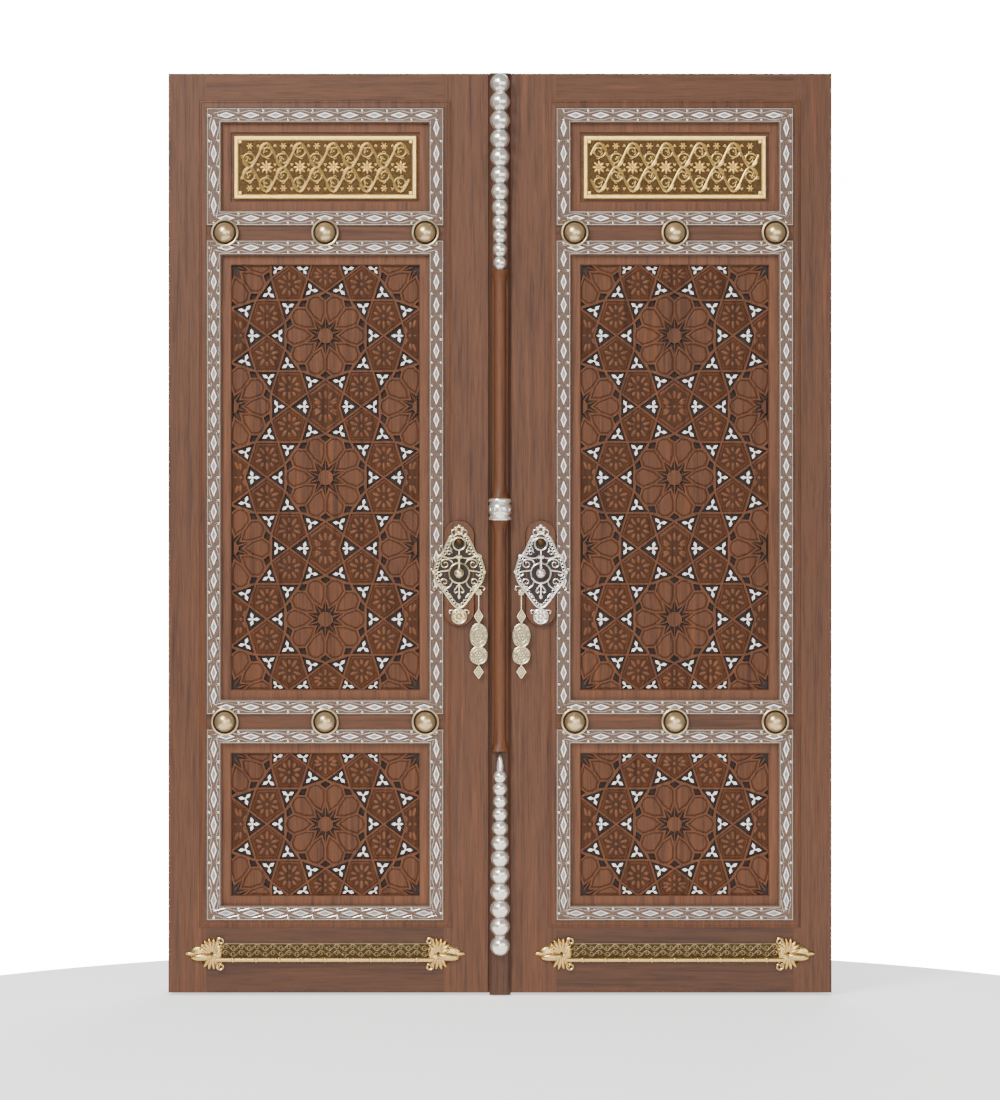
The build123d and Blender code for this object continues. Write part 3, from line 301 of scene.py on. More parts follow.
def wires(strands, depth, sides=1):
    """Round wires on a plane that faces outside; strands are (points, radius, closed) in (x, z).

    A third number in a point swells or thins the wire there.
    """
    curve = bpy.data.curves.new("strands", "CURVE")
    curve.dimensions = "3D"
    curve.bevel_depth = 1.0
    curve.bevel_resolution = sides
    curve.use_fill_caps = True
    for points, radius, closed in strands:
        spline = curve.splines.new("POLY")
        spline.points.add(len(points) - 1)
        for spot, point in zip(spline.points, points):
            spot.co = (point[0], depth, point[1], 1)
            spot.radius = radius * (point[2] if len(point) > 2 else 1)
        spline.use_cyclic_u = closed
    hold(linked("strands", curve))
    bpy.ops.object.convert(target="MESH")
    return smooth(outwards(bpy.context.object))


def spiral(at, start, stop, first, last, steps=16, thin=0.55):
    """Points of a spiral between two radii and two angles in degrees, thinning towards its end."""
    points = []
    for k in range(steps + 1):
        t = k / steps
        radius, angle = start + (stop - start) * t, math.radians(first + (last - first) * t)
        x, z = at[0] + radius * math.cos(angle), at[1] + radius * math.sin(angle)
        points.append((x, z, 1 - (1 - thin) * t))
    return points


def circle(at, radius, steps=24, tall=1.0):
    """Points of a closed round or oval."""
    turns = [2 * math.pi * k / steps for k in range(steps)]
    return [(at[0] + radius * math.cos(a), at[1] + radius * tall * math.sin(a)) for a in turns]


def bent(points, steps=6):
    """A smooth line through its points."""
    ends = [points[0]] + list(points) + [points[-1]]
    made = []
    for corners in zip(ends, ends[1:], ends[2:], ends[3:]):
        for k in range(steps):
            t = k / steps
            made.append(tuple(
                0.5 * (2 * b + (c - a) * t + (2 * a - 5 * b + 4 * c - d) * t * t
                       + (3 * b - a - 3 * c + d) * t ** 3)
                for a, b, c, d in zip(*corners)
            ))
    return made + [tuple(points[-1])]


def bead(radius, flat=1.0, rings=6):
    """A low round bead that swells towards the outside, with a flat back."""
    hold()
    bpy.ops.mesh.primitive_uv_sphere_add(
        segments=2 * rings, ring_count=rings, radius=radius, rotation=FACE_OUT)
    obj = bpy.context.object
    obj.scale = (1, 1, flat)
    with editing(apply_place(obj)):
        bpy.ops.mesh.bisect(plane_co=(0, 0, 0), plane_no=(0, 1, 0), clear_outer=True, use_fill=True)
    return smooth(outwards(obj), 50)


def turned(profile, steps):
    """A lathe shape from (radius, height) points about the Z axis."""
    obj = drawn("profile", [(r, 0, h) for r, h in profile], [(k, k + 1) for k in range(len(profile) - 1)], [])
    with editing(obj):
        bpy.ops.mesh.spin(steps=steps, angle=2 * math.pi, center=(0, 0, 0), axis=(0, 0, 1))
    return outwards(obj)


# Materials.

def node(tree, kind, inputs=None, **settings):
    """Adds a shader node with its settings and links."""
    made = tree.nodes.new(kind)
    for key, value in settings.items():
        setattr(made, key, value)
    for key, value in (inputs or {}).items():
        if isinstance(value, bpy.types.NodeSocket):
            tree.links.new(value, made.inputs[key])
        else:
            made.inputs[key].default_value = value
    return made


def finish_named(name):
    """A new material with its tree, shader and object coordinates."""
    material = bpy.data.materials.new(name)
    material.use_nodes = True
    tree = material.node_tree
    return material, tree, tree.nodes["Principled BSDF"], node(tree, "ShaderNodeTexCoord").outputs["Object"]


def noise(tree, place, grain, detail, roughness=0.5, distortion=0.0):
    """Soft noise with grains of a size in metres."""
    return node(tree, "ShaderNodeTexNoise", {
        "Vector": place, "Scale": 1 / grain, "Detail": detail, "Roughness": roughness,
        "Distortion": distortion}).outputs["Fac"]


def ramp(tree, factor, stops):
    """A colour ramp from (place, colour) stops."""
    made = node(tree, "ShaderNodeValToRGB", {"Fac": factor})
    elements = made.color_ramp.elements
    while len(elements) < len(stops):
        elements.new(0.5)
    for element, (place, shade) in zip(elements, stops):
        element.position = place
        element.color = shade
    return made.outputs["Color"]


def ranged(tree, value, low, high, first, last):
    """A value carried over from one range to another."""
    return node(tree, "ShaderNodeMapRange", {
        "Value": value, "From Min": low, "From Max": high, "To Min": first, "To Max": last}).outputs["Result"]


def inward(tree, place):
    """How far in a point lies."""
    return node(tree, "ShaderNodeSeparateXYZ", {"Vector": place}).outputs["Y"]


def multiplied(tree, look, by, share=1.0):
    """A colour multiplied by another one or by a grey value."""
    return node(tree, "ShaderNodeMix", {"Factor": share, "A": look, "B": by},
                data_type="RGBA", blend_type="MULTIPLY").outputs["Result"]


def surfaced(tree, shader, look, gloss, height, strength, deep):
    """Ties a colour, a gloss and a fine relief to the shader."""
    relief = node(tree, "ShaderNodeBump", {"Height": height, "Strength": strength, "Distance": deep * MM})
    for name, socket in (("Base Color", look), ("Roughness", gloss), ("Normal", relief.outputs["Normal"])):
        tree.links.new(socket, shader.inputs[name])


def shaded(code, share):
    """A colour made darker or lighter by a share."""
    return (*(min(1, c * share) for c in code[:3]), 1)


def grey(share, warm=0.0):
    """A grey for a ramp, with a warm cast."""
    return (share, share - warm, share - 2 * warm, 1)


def oiled_walnut(name, colours, along=2, shift=(0, 0, 0), tone=1.0, shade_depths=None, sheen=0.35):
    """Oiled walnut: long soft streaks with fine dark pores along the grain.

    The two depths given are (back, top) along Y: just in front of the back the carved ground is painted near
    black, as painted shade in the hollows.
    """
    material, tree, shader, place = finish_named(name)
    grains = []
    for across, length in ((14, 420), (2.6, 90)):
        scale = [1 / (across * MM)] * 3
        scale[along] = 1 / (length * MM)
        grains.append(node(tree, "ShaderNodeMapping", {
            "Vector": place, "Location": shift, "Scale": scale}).outputs[0])
    figure = noise(tree, grains[0], 1, 4, 0.6, 0.7)
    pore = noise(tree, grains[1], 1, 3, 0.65)
    body = ramp(tree, figure, [
        (0.28, shaded(colours.walnut_dark, tone)), (0.46, shaded(colours.walnut, tone)),
        (0.56, shaded(colours.walnut, tone * 1.06)), (0.74, shaded(colours.walnut_light, tone))])
    look = multiplied(tree, body, ramp(tree, pore, [(0.34, (0.45, 0.42, 0.4, 1)), (0.52, grey(1))]), 0.6)
    # Painted shade: the deeper a point lies, the darker its colour, near black on the floor of the hollows.
    if shade_depths:
        look = multiplied(tree, look, ramp(tree, ranged(tree, inward(tree, place), *shade_depths, 0, 1), [
            (0.0, grey(1)), (0.04, grey(1)), (0.07, (0.18, 0.15, 0.13, 1)), (0.42, (0.34, 0.3, 0.28, 1)),
            (0.78, grey(0.95, 0.01)), (1.0, grey(1, 0.02))]))
    surfaced(tree, shader, look, ranged(tree, pore, 0.3, 0.7, 0.62, 0.44), pore, 0.25, 0.6)
    shader.inputs["Specular IOR Level"].default_value = sheen
    return material


def moulded_walnut(name, colours):
    """Walnut margin under a band of grey-brown ground, parted by depth."""
    material = oiled_walnut(name, colours, tone=1.4)
    tree = material.node_tree
    shader = tree.nodes["Principled BSDF"]
    wood = shader.inputs["Base Color"].links[0].from_socket
    place = node(tree, "ShaderNodeTexCoord").outputs["Object"]
    band = node(tree, "ShaderNodeMath", {0: inward(tree, place), 1: LEAF_FACE + 3 * MM}, operation="LESS_THAN")
    ground = ramp(tree, noise(tree, place, 5 * MM, 3), [
        (0.3, shaded(colours.band, 0.6)), (0.5, colours.band), (0.7, shaded(colours.band, 1.3))])
    both = node(tree, "ShaderNodeMix", {"Factor": band.outputs[0], "A": wood, "B": ground}, data_type="RGBA")
    tree.links.new(both.outputs["Result"], shader.inputs["Base Color"])
    return material


def cast_metal(name, base, rough, grit, worn, shade_depths=None, dark=0.25, metal=1.0):
    """Cast and polished metal: bright high places, hollows darkened as painted shade, and a fine skin with a
    grit in millimetres.

    The two depths given are (low, high) along Y: low places are darkened by the share dark, as painted shade.
    """
    material, tree, shader, place = finish_named(name)
    skin = noise(tree, place, grit * MM, 4, 0.6)
    look = ramp(tree, skin, [(0.3, shaded(base, worn)), (0.55, base), (0.8, shaded(base, 1.08))])
    # Painted shade: darker towards the low places.
    if shade_depths:
        look = multiplied(tree, look, ranged(tree, inward(tree, place), *shade_depths, dark, 1))
    surfaced(tree, shader, look, ranged(tree, skin, 0.3, 0.7, rough * 1.3, rough * 0.8), skin, 0.2, 0.5)
    shader.inputs["Metallic"].default_value = metal
    return material


def shell_pearl(name, colours):
    """Polished shell: milky white with faint pink and green bands under a clear gloss."""
    material, tree, shader, place = finish_named(name)
    look = ramp(tree, noise(tree, place, 9 * MM, 3, distortion=1.0), [
        (0.3, linear("#d9dcd3")), (0.45, colours.pearl), (0.6, linear("#f2e4e0")), (0.75, linear("#e3ece8"))])
    tree.links.new(look, shader.inputs["Base Color"])
    for key, value in (("Roughness", 0.22), ("IOR", 1.53), ("Coat Weight", 0.4)):
        shader.inputs[key].default_value = value
    return material


def matt_floor(name, colours):
    """Matt painted floor with a barely seen mottle and a faint glow that keeps it pale."""
    material, tree, shader, place = finish_named(name)
    look = ramp(tree, noise(tree, place, 300 * MM, 3), [
        (0.3, shaded(colours.floor, 0.97)), (0.7, colours.floor)])
    tree.links.new(look, shader.inputs["Base Color"])
    for key, value in (("Roughness", 0.8), ("Emission Color", grey(1)), ("Emission Strength", 1.0)):
        shader.inputs[key].default_value = value
    return material


def finishes(context):
    """All finishes by name, made once."""
    colours = context.scene.door_colours
    silver, gilt, bronze = colours.silver, colours.gilt, colours.bronze
    level, post, panel = (1.9, 4.3, 2.1), (2, 1, 6), (5, 2, 8)
    carved = (PANEL_FACE + 10 * MM, PANEL_FACE)
    walnuts = {
        "walnut_upright": {},
        "walnut_stile": {"shift": (3.1, 7.7, 1.3), "tone": 1.04},
        "walnut_level": {"along": 0, "shift": level, "tone": 1.03},
        # The foot and the batten are darker than the stiles as painted shade, and the shaft warmer.
        "walnut_foot_shaded": {"along": 0, "shift": level, "tone": 0.74},
        "walnut_batten_shaded": {"shift": post, "tone": 0.68},
        "walnut_shaft": {"shift": post, "tone": 1.3},
        # Carved panels have a ground darkened as painted shade, raised leaves lightened as painted light, and
        # hollows painted near black as shade.
        "walnut_ground_shaded": {"shift": panel, "tone": 0.56, "sheen": 0.16},
        "walnut_relief_lit": {"shift": panel, "tone": 1.45, "sheen": 0.3},
        "walnut_carved_shaded": {"shift": panel, "tone": 1.14, "shade_depths": carved, "sheen": 0.26},
        "walnut_shadow": {"tone": 0.16},
        # Painted highlight: a much lighter walnut for the lit rim of the lock pads.
        "walnut_edge_highlight": {"tone": 1.7},
        # A dark brush seal whose dark also stands in as painted shade of the gap between the leaves.
        "brush_seal_and_shade": {"along": 1, "tone": 0.2},
    }
    metals = {
        # Bright silver on the lozenges and spindles, duller on the lines, and darkened in the hollows as
        # painted shade.
        "silver": (silver, 0.24, 6, 0.85, (MOULDING_FACE, MOULDING_FACE - 1.2 * MM), 0.5),
        "silver_turned": (silver, 0.22, 5, 0.8, None, 0, 0.85),
        "silver_line": (shaded(silver, 0.62), 0.4, 5, 0.8),
        # A dark copy of silver, painted shade for the pressed lozenge centres and the rings between spindle
        # beads.
        "silver_hollow_shade": (shaded(silver, 0.3), 0.5, 5, 0.7),
        # Golden bosses, paler relief, and gilding from bright to dim.
        "brass": (colours.brass, 0.15, 12, 0.86),
        "brass_rim": (colours.brass_rim, 0.34, 9, 0.86),
        "brass_pale": (colours.brass_pale, 0.26, 6, 0.8),
        "gilt": (gilt, 0.28, 6, 0.84),
        "lace": (shaded(gilt, 0.62), 0.36, 5, 0.75),
        "brass_dim": (shaded(gilt, 0.36), 0.42, 5, 0.7),
        # Dull brown grounds, one also dark behind the palmette leaves as painted shade, and grey steel.
        "bronze_ground": (shaded(bronze, 0.6), 0.55, 4, 0.6),
        "bronze_dark_and_shade": (shaded(bronze, 0.45), 0.5, 4, 0.6),
        "hinge_steel": (colours.steel, 0.4, 7, 0.7),
    }
    makers = {"walnut_moulding": moulded_walnut, "pearl": shell_pearl, "floor": matt_floor}
    found = {name: bpy.data.materials.get(name) for name in (*walnuts, *metals, *makers)}
    for name, material in found.items():
        if material:
            continue
        if name in walnuts:
            found[name] = oiled_walnut(name, colours, **walnuts[name])
        elif name in metals:
            found[name] = cast_metal(name, *metals[name])
        else:
            found[name] = makers[name](name, colours)
    return found


def dress(material, *names):
    """Gives carried-over CAD nodes their finish."""
    for name in names:
        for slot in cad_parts[name].material_slots:
            slot.material = material


class DOOR_OT_wood(bpy.types.Operator):
    """Finish the joinery, the frame and its hinges"""
    bl_idname = "door.wood"
    bl_label = "Joinery"

    def execute(self, context):
        looks = finishes(context)
        leaf = {
            "walnut_upright": ["hinge_stile", "jamb"],
            "walnut_stile": ["meeting_stile", "lock_pad"],
            "walnut_level": ["lower_rail", "upper_rail", "top_rail", "upper_panel"],
            "walnut_foot_shaded": ["bottom_rail"],
            "walnut_moulding": [bay + "_moulding" for bay in BAYS],
            "walnut_carved_shaded": ["middle_panel", "lower_panel"],
            "pearl": ["pearl_inlay"],
            "hinge_steel": ["leaf_hinge_plates"],
        }
        for look, names in leaf.items():
            dress(looks[look], *(side + "_" + name for side in SIDES for name in names))
        dress(looks["walnut_batten_shaded"], "astragal_batten")
        dress(looks["walnut_shaft"], "astragal_shaft")
        dress(looks["walnut_level"], "head", "threshold")
        dress(looks["hinge_steel"], "frame_hinge_plates", "hinge_pins", "lock_case", "lock_bolt")
        return {"FINISHED"}


class DOOR_OT_borders(bpy.types.Operator):
    """Mitred wooden borders around the bays, painted shadow and highlight edge lines of the lock pads, and the
    meeting seal
    """
    bl_idname = "door.borders"
    bl_label = "Borders"
    OUTER_STEPS = [(0, 0.6), (1.2, 1.0), (3.5, 0.6), (1.5, -1.4), (1.5, 0)]
    INNER_STEP = (0.3, -2.4)
    FIELD_RISE = 1.6
    SHADOW_LINE, EDGE_LINE = (0.4, 2.0), (-1.6, 1.4)
    SEAL_DEEP, SEAL_IN, SEAL_GRIP = 24, 16, 0.2

    def pad_line(self, grow, radius, depth):
        """A wire along the round-ended outline of the lock pad, grown by some millimetres."""
        low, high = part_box("right_lock_pad")
        half = (high.x - low.x) / 2
        straight, reach = (high.z - low.z) / 2 - half, half + grow * MM
        turns = [(end, math.pi * (k / 12 + end)) for end in (0, 1) for k in range(13)]
        return wires([([(
            LOCK_MIDDLE.x + reach * math.cos(turn),
            LOCK_MIDDLE.z + (1 - 2 * end) * straight + reach * math.sin(turn)) for end, turn in turns],
            radius * MM, True)], depth)

    def execute(self, context):
        looks = finishes(context)
        wide = context.scene.door_sizes.border
        low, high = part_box("right_lower_moulding")[0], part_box("right_upper_moulding")[1]
        reach = Vector((wide, 0, wide))
        field = wide / MM - sum(inset for inset, _ in self.OUTER_STEPS) - self.INNER_STEP[0]
        border = ring(low - reach, high + reach, LEAF_FACE, self.OUTER_STEPS + [
            (field, self.FIELD_RISE), self.INNER_STEP])
        on_both_leaves(joined([
            painted(border, looks["walnut_stile"]),
            # A dark line at the pad's foot is painted shadow, a light line on its rim a painted highlight.
            painted(self.pad_line(*self.SHADOW_LINE, LEAF_FACE), looks["walnut_shadow"]),
            painted(self.pad_line(*self.EDGE_LINE, PAD_FACE), looks["walnut_edge_highlight"]),
        ]), "bay_border", "walnut")
        edge, (foot, top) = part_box("right_meeting_stile")[0].x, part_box("left_meeting_stile")
        # The seal is a dark brush strip in the gap between the leaves; its dark is also painted shade of the
        # gap.
        seal = block(((edge + top.x) / 2, LEAF_FACE + self.SEAL_IN * MM, (foot.z + top.z) / 2),
                     (edge - top.x + self.SEAL_GRIP * MM, self.SEAL_DEEP * MM, top.z - foot.z))
        settle(painted(seal, looks["brush_seal_and_shade"]), "meeting_seal", "left_leaf", "walnut")
        return {"FINISHED"}


class DOOR_OT_carving(bpy.types.Operator):
    """Rays of the star middles and carved flowers on the fields between the rosettes"""
    bl_idname = "door.carving"
    bl_label = "Carved tracery"
    # Depths behind the face of the panel.
    HEART_IN, RAY_IN, GROUND_IN, LEAF_IN, LINE_IN = 9.1, 2.8, 2.1, 2.0, 1.6
    HEART_THICK, GROUND_THICK = 0.5, 0.4
    RAY_RADIUS, LINE_RADIUS = 2.2, 1.5
    EDGE_ROOM, SMALLEST_FIELD = 3, 24
    # Shares of the rosette's inner radius: notch and tip of the dark star painted as shade, and (place, swell)
    # along a ray.
    HEART_SHARES = (0.2, 0.36)
    RAY_SHARES = ((0.12, 1.2), (0.25, 1.0), (0.38, 0.7))
    GROUND_SHARE = 0.8
    # Leaves to the corners and to the sides of a field: place, length and width as shares of its reach.
    CORNER_LEAF_SHARES, SIDE_LEAF_SHARES = (0.44, 0.22, 0.09), (0.54, 0.18, 0.12)
    BUD, LEAF_HIGH, LONGEST_LEAF, WIDEST_LEAF = (5, 2.4, 5), 2.2, 12, 5

    def knot(self):
        """Outlines of the fields between four rosettes, in units of the rosette's inner radius."""
        arc = math.pi / 5
        across, up, ring_at = 2 * math.cos(arc), 2 * math.sin(arc), math.tan(arc)
        end, crown = across - 1, up - ring_at
        mid = (math.cos(2 * arc), up - math.sin(2 * arc))
        waist = mid[0] - mid[1] / math.tan(2 * arc)
        touch = (across / 2, up / 2)
        side = (across - ring_at * math.cos(arc / 2), ring_at * math.sin(arc / 2))
        pentagon = [(end, 0), side, touch, (touch[0] - end + waist, touch[1]), mid]
        fields = [[(sx * u, sy * v) for u, v in pentagon] for sx in (-1, 1) for sy in (-1, 1)]
        half = [(waist, 0), mid, (0, crown), (-mid[0], mid[1])]
        return fields + [half + [(-u, -v) for u, v in half]], across, up

    def inside(self, outline, low, high):
        """The part of an outline that lies inside a panel."""
        for axis, sign, limit in ((0, 1, low.x), (0, -1, high.x), (1, 1, low.z), (1, -1, high.z)):
            made = []
            for a, b in zip(outline, outline[1:] + outline[:1]):
                da, db = sign * (a[axis] - limit), sign * (b[axis] - limit)
                if da >= 0:
                    made.append(a)
                if da * db < 0:
                    made.append(tuple(p + (q - p) * da / (da - db) for p, q in zip(a, b)))
            outline = made
        return outline

    def middle(self, field):
        """The mean of an outline's points."""
        return [sum(p[i] for p in field) / len(field) for i in (0, 1)]

    def flower(self, field):
        """Places of the raised leaves that point to the corners and sides of one field."""
        x, z = self.middle(field)
        depth = PANEL_FACE + self.LEAF_IN * MM
        sides = [((a[0] + b[0]) / 2, (a[1] + b[1]) / 2) for a, b in zip(field, field[1:] + field[:1])]
        made = [moved(x, depth, z) @ stretched(*self.BUD)]
        for spots, (out, long, wide) in ((field, self.CORNER_LEAF_SHARES), (sides, self.SIDE_LEAF_SHARES)):
            for u, v in spots:
                du, dv = u - x, v - z
                reach = math.hypot(du, dv) / MM
                made.append(moved(x + out * du, depth, z + out * dv) @ facing(math.atan2(dv, du)) @ stretched(
                    min(long * reach, self.LONGEST_LEAF), self.LEAF_HIGH, min(wide * reach, self.WIDEST_LEAF)))
        return made

    def execute(self, context):
        looks = finishes(context)
        fields, across, up = self.knot()
        rays, lines, grounds, shaded_hearts, leaves = [], [], [], [], []
        room = self.EDGE_ROOM * MM
        for bay, repeats in (("middle", 3), ("lower", 1)):
            low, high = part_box("right_" + bay + "_panel")
            rise = (high.z - low.z) / repeats
            wide, tall = (high.x - low.x) / (2 * across), rise / (2 * up)
            spots = [(x, low.z + row * rise / 2, (row % 2 == 1) == inner) for row in range(2 * repeats + 1)
                     for x, inner in (((low.x + high.x) / 2, True), (low.x, False), (high.x, False))]
            for x, z, star in spots:
                if star:
                    edge = [(x + r * wide * math.cos(a), z + r * tall * math.sin(a)) for r, a in (
                        (self.HEART_SHARES[k % 2], math.pi * k / 10) for k in range(20))]
                    shaded_hearts += [heart for heart in [self.inside(edge, low, high)] if heart]
                    for k in range(10):
                        turn = math.pi * (2 * k + 1) / 10
                        ray = [(x + r * wide * math.cos(turn), z + r * tall * math.sin(turn), swell)
                               for r, swell in self.RAY_SHARES]
                        if all(low.x + room < u < high.x - room and low.z + room < v < high.z - room
                               for u, v, _ in ray):
                            rays.append((ray, self.RAY_RADIUS * MM, False))
                    continue
                for field in fields:
                    shape = self.inside([(x + u * wide, z + v * tall) for u, v in field], low, high)
                    spans = [max(axis) - min(axis) for axis in zip(*shape)] or [0]
                    if min(spans) > self.SMALLEST_FIELD * MM:
                        hub = self.middle(shape)
                        drawn_in = [tuple(h + self.GROUND_SHARE * (c - h) for h, c in zip(hub, p))
                                    for p in shape]
                        grounds.append(drawn_in)
                        lines.append((drawn_in, self.LINE_RADIUS * MM, True))
                        leaves += self.flower(shape)
        carving = painted(wires(rays, PANEL_FACE + self.RAY_IN * MM), looks["walnut_carved_shaded"])
        outlines = wires(lines, PANEL_FACE + self.LINE_IN * MM, 0)
        # The raised tracery is a lighter copy of the walnut as painted light, and its ground a darker copy as
        # painted shade.
        relief = painted(joined([outlines, spread(bead(1.0, 1.0, 4), leaves)]), looks["walnut_relief_lit"])
        ground = sheet(grounds, PANEL_FACE + self.GROUND_IN * MM, self.GROUND_THICK)
        # Painted shade: a near black star sheet on the floor of each star pocket.
        dark = sheet(shaded_hearts, PANEL_FACE + self.HEART_IN * MM, self.HEART_THICK)
        on_both_leaves(joined([
            carving, relief, painted(ground, looks["walnut_ground_shaded"]), painted(dark, looks["walnut_shadow"]),
        ]), "panel_tracery", "carved_walnut")
        return {"FINISHED"}


class DOOR_OT_silver(bpy.types.Operator):
    """Silver lines and chains of lozenges on the mouldings"""
    bl_idname = "door.silver"
    bl_label = "Silver inlay"
    UNIT, CHAIN_IN, LINES_IN = 64, 21, (2.6, 36.4)
    LOZENGE, LOZENGE_HIGH, WAIST_SHARE = (23.5, 8.2), 1.5, 0.68
    LOZENGE_STEPS = ((0.5, 0.4), (2.2, 0), (0.4, -1.0))
    STEM, STEM_RADIUS = [(-32, 6), (-20, 8.5), (-8, 12), (8, 12), (20, 8.5), (32, 6)], 0.9
    DOT, DOT_OUT = 5, 12.4

    def unit(self, silver, hollow_shade):
        """One pressed lozenge between two wavy stems, with the bead pair at its neck."""
        hold()
        bpy.ops.mesh.primitive_circle_add(vertices=8, radius=1, fill_type="NGON", rotation=FACE_OUT)
        gem = painted(bpy.context.object, silver, hollow_shade)
        for vertex in gem.data.vertices:
            vertex.co *= self.WAIST_SHARE if min(abs(vertex.co.x), abs(vertex.co.y)) > 0.1 else 1
        gem.scale = (self.LOZENGE[0] * MM, self.LOZENGE[1] * MM, 1)
        with editing(apply_place(gem)):
            bpy.ops.mesh.extrude_region_move(TRANSFORM_OT_translate={"value": (0, -self.LOZENGE_HIGH * MM, 0)})
            for inset, rise in self.LOZENGE_STEPS:
                bpy.ops.mesh.inset(thickness=inset * MM, depth=rise * MM)
        # The pressed centre of each lozenge takes the dark silver as painted shade.
        for face in gem.data.polygons:
            face.material_index = int(face.select)
        stems = [([(u * MM, sign * v * MM) for u, v in bent(self.STEM, 2)], self.STEM_RADIUS * MM, False)
                 for sign in (-1, 1)]
        parts = [outwards(gem), painted(wires(stems, -0.3 * MM), silver)]
        dot = painted(bead(self.DOT * MM, 0.8, 4), silver)
        return joined(parts + [spread(dot, [
            moved(self.UNIT / 2 * MM, 0, sign * self.DOT_OUT * MM) for sign in (-1, 1)])])

    def execute(self, context):
        looks = finishes(context)
        sizes = context.scene.door_sizes
        half = self.CHAIN_IN * MM
        line = [(0, 1.2), (0.9, 0.9), (sizes.line / MM - 1.8, 0), (0.9, -2.1)]
        places, parts = [], []
        for bay in BAYS:
            low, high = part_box("right_" + bay + "_moulding")
            for start in self.LINES_IN:
                edge = Vector((start * MM, 0, start * MM))
                parts.append(painted(ring(low + edge, high - edge, low.y, line), looks["silver_line"]))
            corners = [(low.x + half, low.z + half), (high.x - half, low.z + half),
                       (high.x - half, high.z - half), (low.x + half, high.z - half)]
            for (ax, az), (bx, bz) in zip(corners, corners[1:] + corners[:1]):
                length = math.hypot(bx - ax, bz - az)
                count = round(length / sizes.pitch)
                turn = facing(math.atan2(bz - az, bx - ax))
                stretch = Matrix.Diagonal((length / count / (self.UNIT * MM), 1, 1, 1))
                for share in ((k + 0.5) / count for k in range(count)):
                    spot = moved(ax + (bx - ax) * share, low.y, az + (bz - az) * share)
                    places.append(spot @ turn @ stretch)
        parts.append(spread(self.unit(looks["silver"], looks["silver_hollow_shade"]), places))
        on_both_leaves(joined(parts), "silver_work", "silver", "silver_inlay")
        return {"FINISHED"}


class DOOR_OT_bosses(bpy.types.Operator):
    """Turned brass bosses on the cross rails"""
    bl_idname = "door.bosses"
    bl_label = "Bosses"
    RIM = [(0, 0), (15, 0), (15, 8.3), (37, 8.3), (38, 9.4), (38, 11.6), (37, 14), (35, 15.2), (32.8, 14.6),
           (31.6, 12.6), (31.2, 9.4), (27.4, 9.4)]
    RADIUS, DOME, DOME_FOOT = 38, 27, 12.5
    GROOVE, GROOVE_LEVELS = (27, 31.7), (9, 13)

    def execute(self, context):
        looks = finishes(context)
        low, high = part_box("right_bosses")
        top = (high.y - low.y) / MM
        dome = [(self.DOME * math.cos(a), self.DOME_FOOT + (top - self.DOME_FOOT) * math.sin(a))
                for a in (math.pi / 2 * k / 9 for k in range(9))]
        profile = [(r * MM, h * MM) for r, h in self.RIM + dome + [(0, top)]]
        boss = painted(smooth(turned(profile, 40), 35), looks["brass"], looks["walnut_shadow"])
        # Painted shade: the faces of the groove take near black walnut.
        for face in boss.data.polygons:
            out, level = face.center.xy.length / MM, face.center.z / MM
            face.material_index = int(self.GROOVE[0] < out < self.GROOVE[1]
                                      and self.GROOVE_LEVELS[0] < level < self.GROOVE_LEVELS[1])
        boss.rotation_euler = FACE_OUT
        apply_place(boss)
        edge = self.RADIUS * MM
        levels = [sum(c.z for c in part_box("right_" + n + "_rail")) / 2 for n in ("lower", "upper")]
        places = [moved(x, LEAF_FACE, z) for z in levels
                  for x in (low.x + edge, (low.x + high.x) / 2, high.x - edge)]
        on_both_leaves(spread(boss, places), "boss_set", "boss_metal", "bosses")
        return {"FINISHED"}


def rinceau(x0, x1, level, reach, waves, radius, turns, leaf=0.24):
    """A wavy vine stem with a leafy tendril curled into each half wave, and the places of its berries."""
    step = (x1 - x0) / waves
    start = min(0.86 * reach, 0.48 * step)
    swing = 360 * turns
    stem, strands, berries = [], [], []
    for i in range(waves):
        sign = 1 if i % 2 else -1
        middle = x0 + (i + 0.5) * step
        for t in (k / 8 for k in range(8)):
            stem.append((x0 + (i + t) * step, level + sign * reach * math.sin(math.pi * t)))
        hub = (middle, level + sign * (reach - start))
        tendril = spiral(hub, start, start * 0.22, sign * 90, sign * (90 - swing), 26)
        strands.append((tendril, radius * 0.85, False))
        berries.append(hub)
        for turn in range(110, int(swing), 75):
            angle = sign * (90 - turn)
            base, lean = start * (1 - 0.78 * turn / swing), math.radians(angle)
            out = (hub[0] + base * math.cos(lean), hub[1] + base * math.sin(lean))
            curl = spiral(out, 0.03 * start, leaf * start, angle - 120, angle + 60, 6, 0.25)
            strands.append((curl, radius * 0.8, False))
        for side in (-1, 1):
            for shift in (-0.1, 0, 0.1):
                berries.append((middle + step / 2 + shift * start, level + side * (0.84 - abs(shift)) * reach))
    stem.append((x1, level))
    return [(stem, radius, False)] + strands, berries[:-6]


